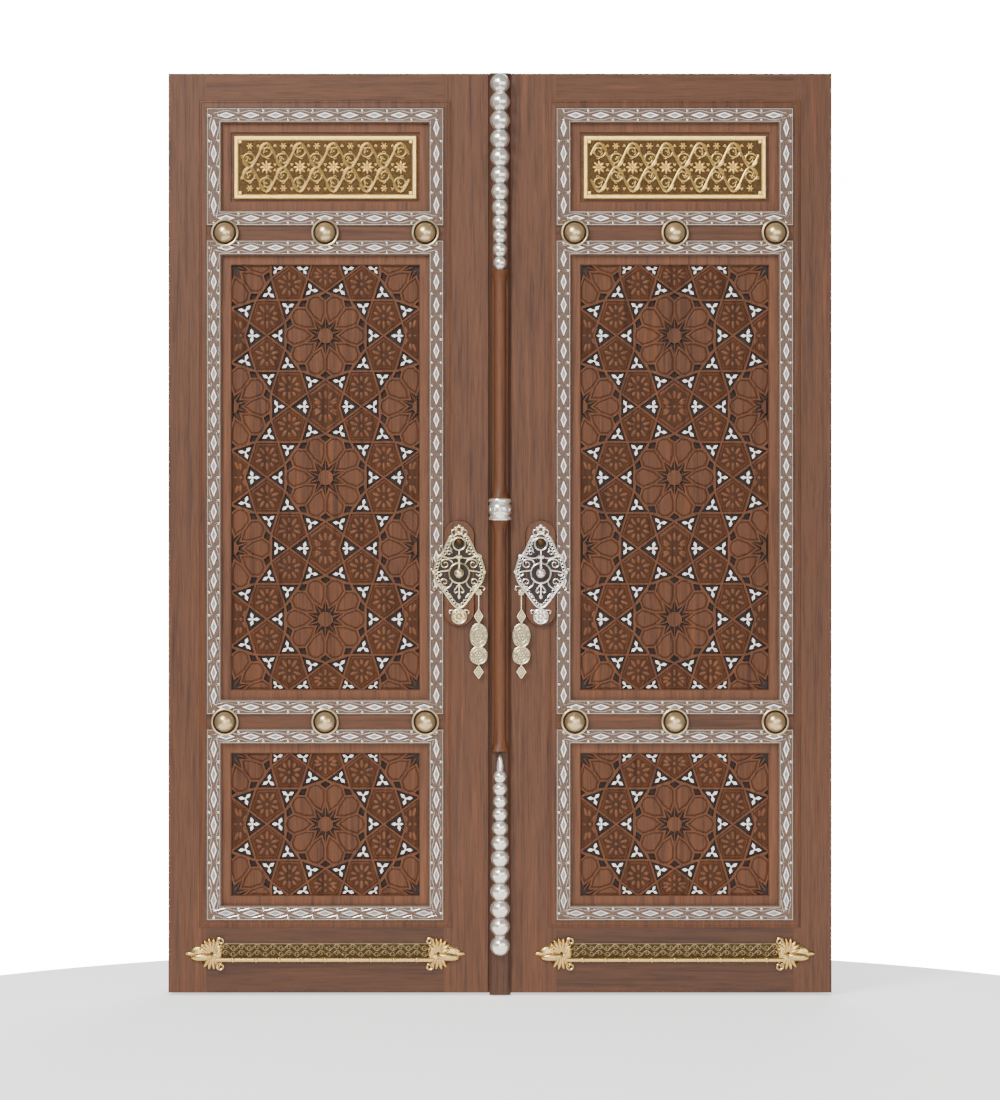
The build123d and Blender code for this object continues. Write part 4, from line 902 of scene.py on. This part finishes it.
class DOOR_OT_plates(bpy.types.Operator):
    """Brass plates with a vine relief in the upper bays"""
    bl_idname = "door.plates"
    bl_label = "Brass plates"
    RIM_STEPS = [(0, 7), (3, 3), (7.5, 0), (3, -2.5), (0.4, -5)]
    GROUND_IN, GROUND_THICK = 4, 5
    VINE_IN, WAVES = 21, 10
    SEED, BLOOM_HIGH, BLOOM_EYE = 2.6, 3.4, 4
    LARGE_BLOOM, SMALL_BLOOM, SMALL_OUT_SHARE = (8, 8.5), (6, 4.2), 1.74
    CORNER, CORNER_HIGH, CORNER_IN, CORNER_BEVEL = 9, 9.4, 17.5, 1.2

    def blooms(self, low, high, face, reach):
        """Places of the petals and eyes of the flowers between the vines."""
        middle, edge = (low + high) / 2, self.VINE_IN * MM
        step = (high.x - low.x - 2 * edge) / self.WAVES
        made = []
        for i in range(self.WAVES):
            outs, (count, long) = ((-1, 1), self.SMALL_BLOOM) if i % 2 else ((0,), self.LARGE_BLOOM)
            petal = moved((long + 2) * MM, 0, 0) @ stretched(long, self.BLOOM_HIGH, 1.4 + 0.26 * long)
            for out in outs:
                level = middle.z + out * self.SMALL_OUT_SHARE * reach
                at = moved(low.x + edge + (i + 0.5) * step, face, level)
                made += [at @ facing(-2 * math.pi * k / count) @ petal for k in range(count)]
                made.append(at @ stretched(*[self.BLOOM_EYE] * 3))
        return made

    def execute(self, context):
        looks = finishes(context)
        brass = looks["brass_rim"]
        low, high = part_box("right_brass_plate")
        middle, span = (low + high) / 2, high - low
        back, edge = high.y, self.VINE_IN * MM
        face = back - self.GROUND_THICK * MM
        room = 2 * self.GROUND_IN * MM
        ground = block((middle.x, (back + face) / 2, middle.z), (span.x - room, back - face, span.z - room))
        rim = painted(ring(low, high, back, self.RIM_STEPS), brass)
        reach = (span.z / 2 - edge) / 2
        strands, berries = [], []
        for row in (-1, 1):
            found, spots = rinceau(low.x + edge, high.x - edge, 0, reach, self.WAVES,
                                   context.scene.door_sizes.vine / 2, 1.4, 0.34)
            level = middle.z + row * reach
            strands += [([(p[0], level - row * p[1], *p[2:]) for p in points], radius, closed)
                        for points, radius, closed in found]
            berries += [(u, level - row * v) for u, v in spots]
        vine = painted(wires(strands, face - 0.9 * MM), brass)
        seeds = spread(painted(bead(self.SEED * MM, 0.9, 4), brass), [moved(x, face, z) for x, z in berries])
        blooms = spread(painted(bead(1.0), brass), self.blooms(low, high, face, reach))
        corner = block((0, 0, 0), (self.CORNER * MM, self.CORNER_HIGH * MM, self.CORNER * MM))
        with editing(corner):
            bpy.ops.mesh.bevel(offset=self.CORNER_BEVEL * MM, segments=1)
        inner = self.CORNER_IN * MM
        corners = spread(painted(corner, brass), [
            moved(x, back - self.CORNER_HIGH / 2 * MM, z) for x in (low.x + inner, high.x - inner)
            for z in (low.z + inner, high.z - inner)])
        on_both_leaves(joined([rim, painted(ground, looks["bronze_ground"]), vine, seeds, blooms, corners]),
                       "vine_plate", "brass", "brass_plate")
        return {"FINISHED"}


class DOOR_OT_spindles(bpy.types.Operator):
    """Turned silver spindles and collar on the astragal"""
    bl_idname = "door.spindles"
    bl_label = "Spindles"
    BEADS = (18.5, 20, 19.5, 21, 22.5, 24, 25.5, 26.5, 27, 27.5, 27.5)
    BALL, POINT, AXIS_OUT = 27, 55, 10
    POINT_PROFILE = ((9, 2), (10, 14), (7, 32))
    # Of a bead's radius, and of its height: the ring between two beads and the rises of that ring.
    NECK_SHARE, RING_SHARE, RING_SHARES = 0.62, 0.11, (0.03, 0.08)
    PETALS, FLUTE_SHARE, FLUTED_FROM = 8, 0.05, 12
    COLLAR_SHARES = [(0.5, 0), (0.94, 0), (1.0, 0.05), (1.0, 0.13), (0.88, 0.18), (0.86, 0.24), (0.97, 0.32)]
    STUD, STUD_IN, STUD_STEP = 5.4, 1, 30

    def stack(self, radii, low, length):
        """Profile points of a stack of beads parted by narrow rings, and the heights of the rings."""
        points, rings, height = [], [], low
        for radius in radii:
            tall = length * radius / sum(radii)
            neck = radius * self.NECK_SHARE
            start, rest = self.RING_SHARE, 1 - self.RING_SHARE
            points += [(neck, height), *((neck * 1.06, height + s * tall) for s in self.RING_SHARES),
                       (neck, height + start * tall)]
            rings.append((height, height + start * tall))
            for t in (k / 9 for k in range(1, 9)):
                points.append((neck + (radius - neck) * math.sin(math.pi * t) ** 0.8,
                               height + (start + rest * t) * tall))
            height += tall
        return points + [(radii[-1] * self.NECK_SHARE, height)], rings

    def ball(self, level, first, last):
        """Profile points of the end ball between two angles."""
        radius = self.BALL * MM
        return [(radius * math.cos(a), level + radius * math.sin(a))
                for a in (math.radians(d) for d in range(first, last + 1, 15))]

    def flute(self, obj):
        """Presses shallow petals into the beads, away from the tip."""
        for vertex in obj.data.vertices:
            angle = math.atan2(vertex.co.y, vertex.co.x)
            press = 1 - self.FLUTE_SHARE * (0.5 - 0.5 * math.cos(self.PETALS * angle))
            if math.hypot(vertex.co.x, vertex.co.y) > self.FLUTED_FROM * MM:
                vertex.co.x *= press
                vertex.co.y *= press

    def execute(self, context):
        looks = finishes(context)
        radii = [r * MM for r in self.BEADS]
        radius = self.BALL * MM
        for name in ("upper_spindle", "lower_spindle"):
            low, high = (corner.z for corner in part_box(name))
            if name == "upper_spindle":
                beads, rings = self.stack(radii, low, high - low - 2 * radius)
                profile = [(0, low)] + beads + self.ball(high - radius, -60, 90)
            else:
                top = high - self.POINT * MM
                beads, rings = self.stack(radii[::-1], low + 2 * radius, top - low - 2 * radius)
                profile = self.ball(low + radius, -90, 60) + beads
                profile += [(r * MM, top + h * MM) for r, h in self.POINT_PROFILE] + [(0, high)]
            piece = turned(profile, 32)
            self.flute(piece)
            piece.location.y = BATTEN_FACE - self.AXIS_OUT * MM
            smooth(painted(piece, looks["silver_turned"], looks["silver_hollow_shade"]), 50)
            # The rings between the beads take the dark silver as painted shade.
            for face in piece.data.polygons:
                face.material_index = int(any(a < face.center.z < b for a, b in rings))
            settle(piece, name + "_turned", "right_leaf", "silver", name)
        low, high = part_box("astragal_collar")
        tall, wide = high.z - low.z, (high.x - low.x) / 2
        shares = self.COLLAR_SHARES + [(1.0, 0.5)] + [(r, 1 - h) for r, h in self.COLLAR_SHARES[::-1]]
        collar = turned([(r * wide, low.z + h * tall) for r, h in shares], 40)
        collar.location.y = BATTEN_FACE
        apply_place(collar)
        studs = spread(bead(self.STUD * MM, 0.5), [
            moved(math.sin(turn) * wide, BATTEN_FACE - math.cos(turn) * wide + self.STUD_IN * MM,
                  (low.z + high.z) / 2) @ Matrix.Rotation(turn, 4, "Z")
            for turn in (math.radians(self.STUD_STEP * k) for k in range(-2, 3))])
        collar = smooth(painted(joined([collar, studs]), looks["silver_turned"]))
        settle(collar, "astragal_collar_turned", "right_leaf", "silver", "astragal_collar")
        return {"FINISHED"}


class DOOR_OT_locks(bpy.types.Operator):
    """Scrollwork lock plates with knockers"""
    bl_idname = "door.locks"
    bl_label = "Lock plates"
    # Points about the middle of the plate, on its right half.
    EDGE = [(11, 99), (22, 101), (29, 91), (36, 76), (42, 62), (50, 50), (59, 40), (65, 22), (69, 3),
            (64, -18), (54, -34), (40, -52), (26, -72), (12, -89), (0, -95)]
    GROUND = [(0, 100), (22, 98), (35, 75), (49, 49), (58, 38), (68, 3), (54, -34), (26, -72), (0, -95)]
    GROUND_THICK = 0.8
    LOOP, LOOP_STEP, LOOP_IN = 4.2, 9, 6
    RINGS = (((0, 0), 27, 1.0), ((0, 80), 17, 0.9), ((0, 116), 10, 0.9), ((0, -117), 19, 1.1))
    STALKS = ((63, 27), (-27, -70), (-86, -100))
    TIPS = [(0, 128), (9, 122), (-9, 122), (0, -64), (69, 3), (-69, 3), (0, 110)]
    ROSE, ROSE_PETALS, SEED, SCROLL_OUT, SEED_OUT = (0, -117), 12, 6, 2.2, 1.0
    KNOB, KNOB_UP, KNOB_OUT = 11, 84, 0.6
    EAR, EAR_WIDE, EAR_APART, EAR_OUT, EYE = 5, 3, 6, 19.5, 5.5

    def strands(self, thick):
        """Scrolls of one half of the plate with their mirror images, and the whole rings and stalks."""
        edge = bent(self.EDGE)
        half = [
            (edge, 1.0),
            (bent([(0, 47), (16, 41), (32, 42), (44, 47), (55, 50), (60, 46), (57, 42)]), 0.8),
            (spiral((38, 25), 14, 3, 120, -360), 0.8),
            (spiral((40, -24), 13, 3, -110, 340), 0.8),
            (bent([(26, 8), (40, 6), (52, 4), (60, 0), (54, -7), (47, -2)]), 0.8),
            (bent([(18, -21), (24, -34), (36, -42), (48, -40)]), 0.8),
            (bent([(15, 23), (22, 34), (34, 40)]), 0.8),
            (bent([(20, 62), (26, 74), (24, 86), (17, 92)]), 0.7),
            (spiral((27, 55), 8, 2, 180, -200, 12), 0.7),
            (bent([(0, -29), (8, -40), (13, -48), (9, -53), (5, -49)]), 0.7),
            (bent([(20, -62), (26, -58), (33, -60), (34, -66)]), 0.6),
            (bent([(58, -36), (66, -36), (70, -42), (65, -46)]), 0.6),
            (bent([(12, -103), (21, -100), (27, -104), (24, -110)]), 0.7),
            (circle((13, 111), 8, 14) + [(21, 111)], 0.8),
        ]
        travelled = 0
        for a, b in zip(edge, edge[1:]):
            travelled += math.dist(a, b)
            if travelled > self.LOOP_STEP:
                travelled = 0
                pull = Vector((-b[0], -0.3 * b[1])).normalized() * self.LOOP_IN
                loop = circle((b[0] + pull.x, b[1] + pull.y), self.LOOP, 10)
                half.append((loop + loop[:1], 0.5))
        made = [([(sign * u * MM, v * MM, *swell) for u, v, *swell in points], thick * share, False)
                for points, share in half for sign in (1, -1)]
        for (u, v), radius, share in self.RINGS:
            made.append((circle((u * MM, v * MM), radius * MM), thick * share, True))
        for ends in self.STALKS:
            made.append(([(0, v * MM) for v in ends], thick * 0.9, False))
        return made

    def ear(self):
        """A rounded ear that carries the knocker's pin."""
        stand = -self.EAR_OUT * MM
        obj = rod(12, FACE_ACROSS, (0, stand, 0), 2 * self.EAR, 2 * self.EAR, self.EAR_WIDE)
        for vertex in obj.data.vertices:
            if vertex.co.y > stand + 2 * MM:
                vertex.co.y = 0
        return obj

    def execute(self, context):
        looks = finishes(context)
        place = moved(LOCK_MIDDLE.x, PAD_FACE, LOCK_MIDDLE.z)
        parts = [wires(self.strands(context.scene.door_sizes.scroll / 2), -self.SCROLL_OUT * MM)]
        parts.append(spread(bead(self.SEED * MM, 0.8), [
            moved(u * MM, -self.SEED_OUT * MM, v * MM)
            for u, v in [self.ROSE] + circle(self.ROSE, self.ROSE_PETALS, 8) + self.TIPS]))
        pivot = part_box("right_knocker")[1].z - self.EYE * MM - LOCK_MIDDLE.z
        parts.append(spread(self.ear(), [moved(sign * self.EAR_APART * MM, 0, pivot) for sign in (-1, 1)]))
        scroll = joined(parts)
        outline = bent(self.GROUND, 3)
        outline += [(-u, v) for u, v in outline[::-1][1:-1]]
        # Painted shadow: a near black sheet behind the openwork scroll.
        ground = sheet([[(u * MM, v * MM) for u, v in outline]], 0, self.GROUND_THICK)
        painted(ground, looks["walnut_shadow"])
        knob = bead(self.KNOB * MM, 0.7)
        knob.matrix_world = moved(0, -self.KNOB_OUT * MM, self.KNOB_UP * MM)
        ground = joined([ground, painted(apply_place(knob), looks["bronze_ground"])])
        for piece in (scroll, ground):
            piece.matrix_world = place
            apply_place(piece)
        for side, piece, under, look in (
                ("right", scroll, ground, "silver_turned"),
                ("left", mirrored(scroll), mirrored(ground), "gilt")):
            plate = joined([painted(piece, looks[look]), under])
            settle(plate, side + "_lock_scroll", side + "_leaf", "lock_metal", side + "_lock_plate")
            dress(looks[look], side + "_knocker")
        return {"FINISHED"}


class DOOR_OT_pulls(bpy.types.Operator):
    """Filigree drop pulls and their staples"""
    bl_idname = "door.pulls"
    bl_label = "Drop pulls"
    # Drop below the pin, width and height of the two discs and of the two lozenges.
    DISCS, LOZENGES = ((117, 49, 66), (171, 49, 49)), ((65, 25, 42), (216, 27, 40))
    RIM_IN, RIM, INNER_RIM, CURL, PLATE_THICK = 3, 1.8, 1.1, 0.8, 1.6
    INNER_SHARE, CURL_SHARE, SEED_SHARE = 0.30, 0.39, 0.15
    LOZENGE_WIRES = ((0.9, 1.8), (0.45, 1.2))
    LINKS = (((5, 46), 1.5), ((194, 200), 1.8))
    EYE, EYE_RADIUS, EYE_WIRE = 5.5, 4.2, 1.4
    WIRE_OUT, SEED_OUT, SEED = 1.6, 1.4, 3.4
    ROSE, PETAL, PETALS_OUT = 9, 3.2, 7
    POST, POST_OUT, PIN, PIN_LONG = 1.8, 5.2, 1.6, 13

    def staple(self, x, depth, level):
        """A small rosette with two posts and the pin that carries the drop pull."""
        stand = LEAF_FACE - depth
        post = rod(10, FACE_OUT, (0, 0, 0), 2 * self.POST, 2 * self.POST, stand / MM)
        parts = [
            bead(self.ROSE * MM, 0.35),
            spread(bead(self.PETAL * MM, 0.9, 4), [
                moved(u, 0, v) for u, v in circle((0, 0), self.PETALS_OUT * MM, 8)]),
            spread(post, [moved(sign * self.POST_OUT * MM, -stand / 2, 0) for sign in (-1, 1)]),
            rod(10, FACE_ACROSS, (0, -stand, 0), 2 * self.PIN, 2 * self.PIN, self.PIN_LONG),
        ]
        made = joined(parts)
        made.matrix_world = moved(x, LEAF_FACE, level)
        return smooth(apply_place(made))

    def execute(self, context):
        looks = finishes(context)
        low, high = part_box("right_drop_pull")
        x, top = (low.x + high.x) / 2, high.z - self.EYE * MM
        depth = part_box("right_pull_staple")[0].y + self.EYE * MM
        plates, strands, seeds = [], [], []
        for drop, wide, tall in self.DISCS:
            at = (x, top - drop * MM)
            rim_wide, rim_tall = wide - self.RIM_IN, tall - self.RIM_IN
            plates.append(rod(32, FACE_OUT, (x, depth, at[1]), rim_wide, rim_tall, self.PLATE_THICK))
            strands.append((circle(at, rim_wide / 2 * MM, 32, rim_tall / rim_wide), self.RIM * MM, True))
            inner = circle(at, wide * self.INNER_SHARE * MM, 24, tall / wide)
            strands.append((inner, self.INNER_RIM * MM, True))
            for k, spot in enumerate(circle(at, wide * self.CURL_SHARE * MM, 10, tall / wide)):
                curl = spiral(spot, 3.4 * MM, 1 * MM, 36 * k, 36 * k + 400, 9)
                strands.append((curl, self.CURL * MM, False))
            seeds += [at] + circle(at, wide * self.SEED_SHARE * MM, 6, tall / wide)
        for drop, wide, tall in self.LOZENGES:
            level = top - drop * MM
            for share, thick in self.LOZENGE_WIRES:
                u, v = wide * share / 2 * MM, tall * share / 2 * MM
                edge = [(x, level + v), (x + u, level), (x, level - v), (x - u, level)]
                strands.append((edge, thick * MM, True))
            seeds.append((x, level))
            share = self.LOZENGE_WIRES[0][0]
            plates.append(rod(4, FACE_OUT, (x, depth, level), wide * share, tall * share, self.PLATE_THICK))
        strands += [([(x, top - drop * MM) for drop in drops], radius * MM, False)
                    for drops, radius in self.LINKS]
        eye = wires([(circle((0, 0), self.EYE_RADIUS * MM, 16), self.EYE_WIRE * MM, True)], 0)
        eye.matrix_world = moved(x, depth, top) @ Matrix.Rotation(math.pi / 2, 4, "Z")
        gilded = [apply_place(eye), wires(strands, depth - self.WIRE_OUT * MM), spread(
            bead(self.SEED * MM, 0.7, 5), [moved(u, depth - self.SEED_OUT * MM, v) for u, v in seeds])]
        parts = [painted(plate, looks["brass_dim"]) for plate in plates]
        parts += [painted(part, looks["gilt"]) for part in gilded]
        on_both_leaves(joined(parts), "drop_filigree", "lock_metal", "drop_pull", "pull")
        staple = painted(self.staple(x, depth, top), looks["gilt"])
        on_both_leaves(staple, "pull_rosette", "lock_metal", "pull_staple")
        return {"FINISHED"}


class DOOR_OT_kicks(bpy.types.Operator):
    """Kick bars of scrollwork with palmette ends"""
    bl_idname = "door.kicks"
    bl_label = "Kick bars"
    HALF_LACE, LACE_LEVELS, LACE_THICK, LACE_OUT = 281.5, (100, 143), 1.8, 2.6
    LACE_EDGE, LACE_UP, LACE_WAVES, TOP_WIRE, TOP_WIRE_IN = 5, 1.5, 26, 1.6, 1.5
    ROD, ROD_DOWN, ROD_PAST = 6.5, 2, 14
    KNOT, KNOT_OUT, KNOTS = 8, 7, 9
    PALMETTE_OUT = 276
    # Place, turn in degrees and (length, width, height) of the shell, its leaves and its point.
    LEAVES = [((34, 0), 0, (35, 37, 6)), ((66, 0), 0, (27, 21, 7)), ((58, -9), -4, (34, 13, 15)),
              ((90, 0), 0, (16, 6.5, 7)), ((14, 2), 90, (26, 11, 11))]
    RIB_FOOT, RIB_WIDE = 32, 6.4
    CURL_AT, CURL_START, CURL_STOP, CURL_WIRE, CURL_OUT = (8, 34), 11, 3, 3.4, 8

    def palmette(self, base, sign):
        """A shell of ribbed leaves with a smooth leaf across it, two curls and a point."""
        parts = list(self.LEAVES)
        for k in range(8):
            turn = 22 + 19 * k
            reach = (46 - 0.02 * (turn - 80) ** 2 / 10) / 2
            u, v = reach * math.cos(math.radians(turn)), reach * math.sin(math.radians(turn))
            parts.append(((self.RIB_FOOT + u, v), turn, (reach, self.RIB_WIDE, 10)))
            if k > 1:
                parts.append(((self.RIB_FOOT + u, -v), -turn, (reach, self.RIB_WIDE, 9)))
        leaf = bead(1.0, 1.0, 8)
        made = []
        for (u, v), degrees, (long, wide, high) in parts:
            angle = math.radians(degrees)
            turn = facing(angle if sign > 0 else -math.pi - angle)
            spot = Matrix.Translation(base + Vector((sign * u * MM, 0, v * MM)))
            made.append(apply_place(copy_of(leaf, spot @ turn @ stretched(long, high, wide))))
        bpy.data.objects.remove(leaf)
        curl = spiral([c * MM for c in self.CURL_AT], self.CURL_START * MM, self.CURL_STOP * MM, -60, 400)
        curls = [([(base.x + sign * u, base.z + side * v, t) for u, v, t in curl], self.CURL_WIRE * MM, False)
                 for side in (-1, 1)]
        return made + [wires(curls, LEAF_FACE - self.CURL_OUT * MM)]

    def execute(self, context):
        looks = finishes(context)
        low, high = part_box("right_kick_bar")
        middle = (low + high) / 2
        x0, x1 = middle.x - self.HALF_LACE * MM, middle.x + self.HALF_LACE * MM
        z0, z1 = (level * MM for level in self.LACE_LEVELS)
        ground = block((middle.x, LEAF_FACE - self.LACE_THICK / 2 * MM, (z0 + z1) / 2),
                       (x1 - x0, self.LACE_THICK * MM, z1 - z0))
        reach = (z1 - z0) / 2 - self.LACE_EDGE * MM
        strands = []
        for row in (-0.5, 0.5):
            level = (z0 + z1) / 2 + self.LACE_UP * MM + row * reach
            strands += rinceau(x0, x1, level, reach / 2, self.LACE_WAVES,
                               context.scene.door_sizes.lace * 0.4, 1.1)[0]
        rail = z1 - self.TOP_WIRE_IN * MM
        strands.append(([(x0, rail), (x1, rail)], self.TOP_WIRE * MM, False))
        lace = wires(strands, LEAF_FACE - self.LACE_OUT * MM, 0)
        foot, past = z0 - self.ROD_DOWN * MM, self.ROD_PAST * MM
        bar = wires([([(x0 - past, foot), (x1 + past, foot)], self.ROD * MM, False)],
                    LEAF_FACE - self.ROD * MM, 4)
        knots = spread(bead(self.KNOT * MM), [
            moved(x0 + (x1 - x0) * (k + 0.5) / self.KNOTS, LEAF_FACE - self.KNOT_OUT * MM, foot)
            for k in range(self.KNOTS)])
        ends = []
        for sign in (-1, 1):
            shell, *leaves = self.palmette(
                Vector((middle.x + sign * self.PALMETTE_OUT * MM, LEAF_FACE, middle.z)), sign)
            # The shell under the palmette leaves is dark bronze, painted shade for the gaps between them.
            ends.append(painted(shell, looks["bronze_dark_and_shade"]))
            ends += [painted(leaf, looks["brass_pale"]) for leaf in leaves]
        on_both_leaves(joined([
            painted(bar, looks["brass_pale"]), painted(knots, looks["brass_pale"]),
            painted(ground, looks["bronze_dark_and_shade"]), painted(lace, looks["lace"]), *ends,
        ]), "kick_scroll", "kick_brass", "kick_bar")
        return {"FINISHED"}


class DOOR_OT_stage(bpy.types.Operator):
    """Floor, lights, white surroundings and the camera"""
    bl_idname = "door.stage"
    bl_label = "Stage"
    # Metres, and watts for the lights: place, aim, width and power.
    FLOOR_RADIUS, FLOOR_THICK, FLOOR_AT = 2.0, 0.02, (0, -1.1, 0)
    LIGHTS = {
        "key": ((-3.2, -5.0, 5.6), (0, 0, 1.5), 2.6, 620),
        "fill": ((4.2, -5.5, 2.2), (0, 0, 1.2), 3.0, 120),
        "front": ((0, -10.5, 2.2), (0, 0, 1.4), 6.5, 520),
        "back": ((1.0, 5.5, 4.5), (0, 0, 1.2), 3.0, 320),
    }
    SURROUND_LIGHT, SURROUND_WHITE = 0.36, 16.0
    CAMERA_FAR, VIEW_TALL, CAMERA_UP = 9.0, 2.992, 1.212

    def execute(self, context):
        looks = finishes(context)
        hold()
        bpy.ops.mesh.primitive_circle_add(
            vertices=96, radius=self.FLOOR_RADIUS, fill_type="NGON", location=self.FLOOR_AT)
        floor = bpy.context.object
        with editing(floor):
            bpy.ops.mesh.extrude_region_move(TRANSFORM_OT_translate={"value": (0, 0, -self.FLOOR_THICK)})
        outwards(apply_place(floor))
        floor.name = "studio_floor"
        painted(floor, looks["floor"])
        for name, (at, aim, wide, power) in self.LIGHTS.items():
            data = bpy.data.lights.new(name, "AREA")
            data.energy, data.size = power, wide
            lamp = linked(name, data)
            lamp.location = at
            lamp.rotation_euler = (Vector(aim) - Vector(at)).to_track_quat("-Z", "Y").to_euler()
        world = bpy.data.worlds.new("studio")
        context.scene.world = world
        world.use_nodes = True
        tree = world.node_tree
        background = tree.nodes["Background"]
        seen = node(tree, "ShaderNodeLightPath").outputs["Is Camera Ray"]
        strength = ranged(tree, seen, 0, 1, self.SURROUND_LIGHT, self.SURROUND_WHITE)
        tree.links.new(strength, background.inputs["Strength"])
        background.inputs["Color"].default_value = grey(1)
        camera = bpy.data.cameras.new("photo_view")
        camera.sensor_fit = "VERTICAL"
        camera.sensor_height = 36
        camera.lens = camera.sensor_height * (self.CAMERA_FAR + LEAF_FACE) / self.VIEW_TALL
        view = linked("photo_view", camera)
        view.location = (0, -self.CAMERA_FAR, self.CAMERA_UP)
        view.rotation_euler = FACE_OUT
        context.scene.camera = view
        return {"FINISHED"}


OPERATORS = (
    DOOR_OT_wood, DOOR_OT_borders, DOOR_OT_carving, DOOR_OT_silver, DOOR_OT_bosses, DOOR_OT_plates,
    DOOR_OT_spindles, DOOR_OT_locks, DOOR_OT_pulls, DOOR_OT_kicks, DOOR_OT_stage,
)


class DOOR_PT_sidebar(bpy.types.Panel):
    """Lists the steps that dress the door"""
    bl_idname = "DOOR_PT_sidebar"
    bl_label = "Mosque door"
    bl_space_type = "VIEW_3D"
    bl_region_type = "UI"
    bl_category = "Door"

    def draw(self, context):
        for kind in OPERATORS:
            self.layout.operator(kind.bl_idname)


CLASSES = (DoorColours, DoorSizes, *OPERATORS, DOOR_PT_sidebar)


def register():
    for kind in CLASSES:
        bpy.utils.register_class(kind)
    bpy.types.Scene.door_colours = PointerProperty(type=DoorColours)
    bpy.types.Scene.door_sizes = PointerProperty(type=DoorSizes)


def unregister():
    del bpy.types.Scene.door_sizes
    del bpy.types.Scene.door_colours
    for kind in reversed(CLASSES):
        bpy.utils.unregister_class(kind)


def main():
    """Dresses the door."""
    register()
    for kind in OPERATORS:
        group, name = kind.bl_idname.split(".")
        getattr(getattr(bpy.ops, group), name)()


if __name__ == "__main__":
    main()
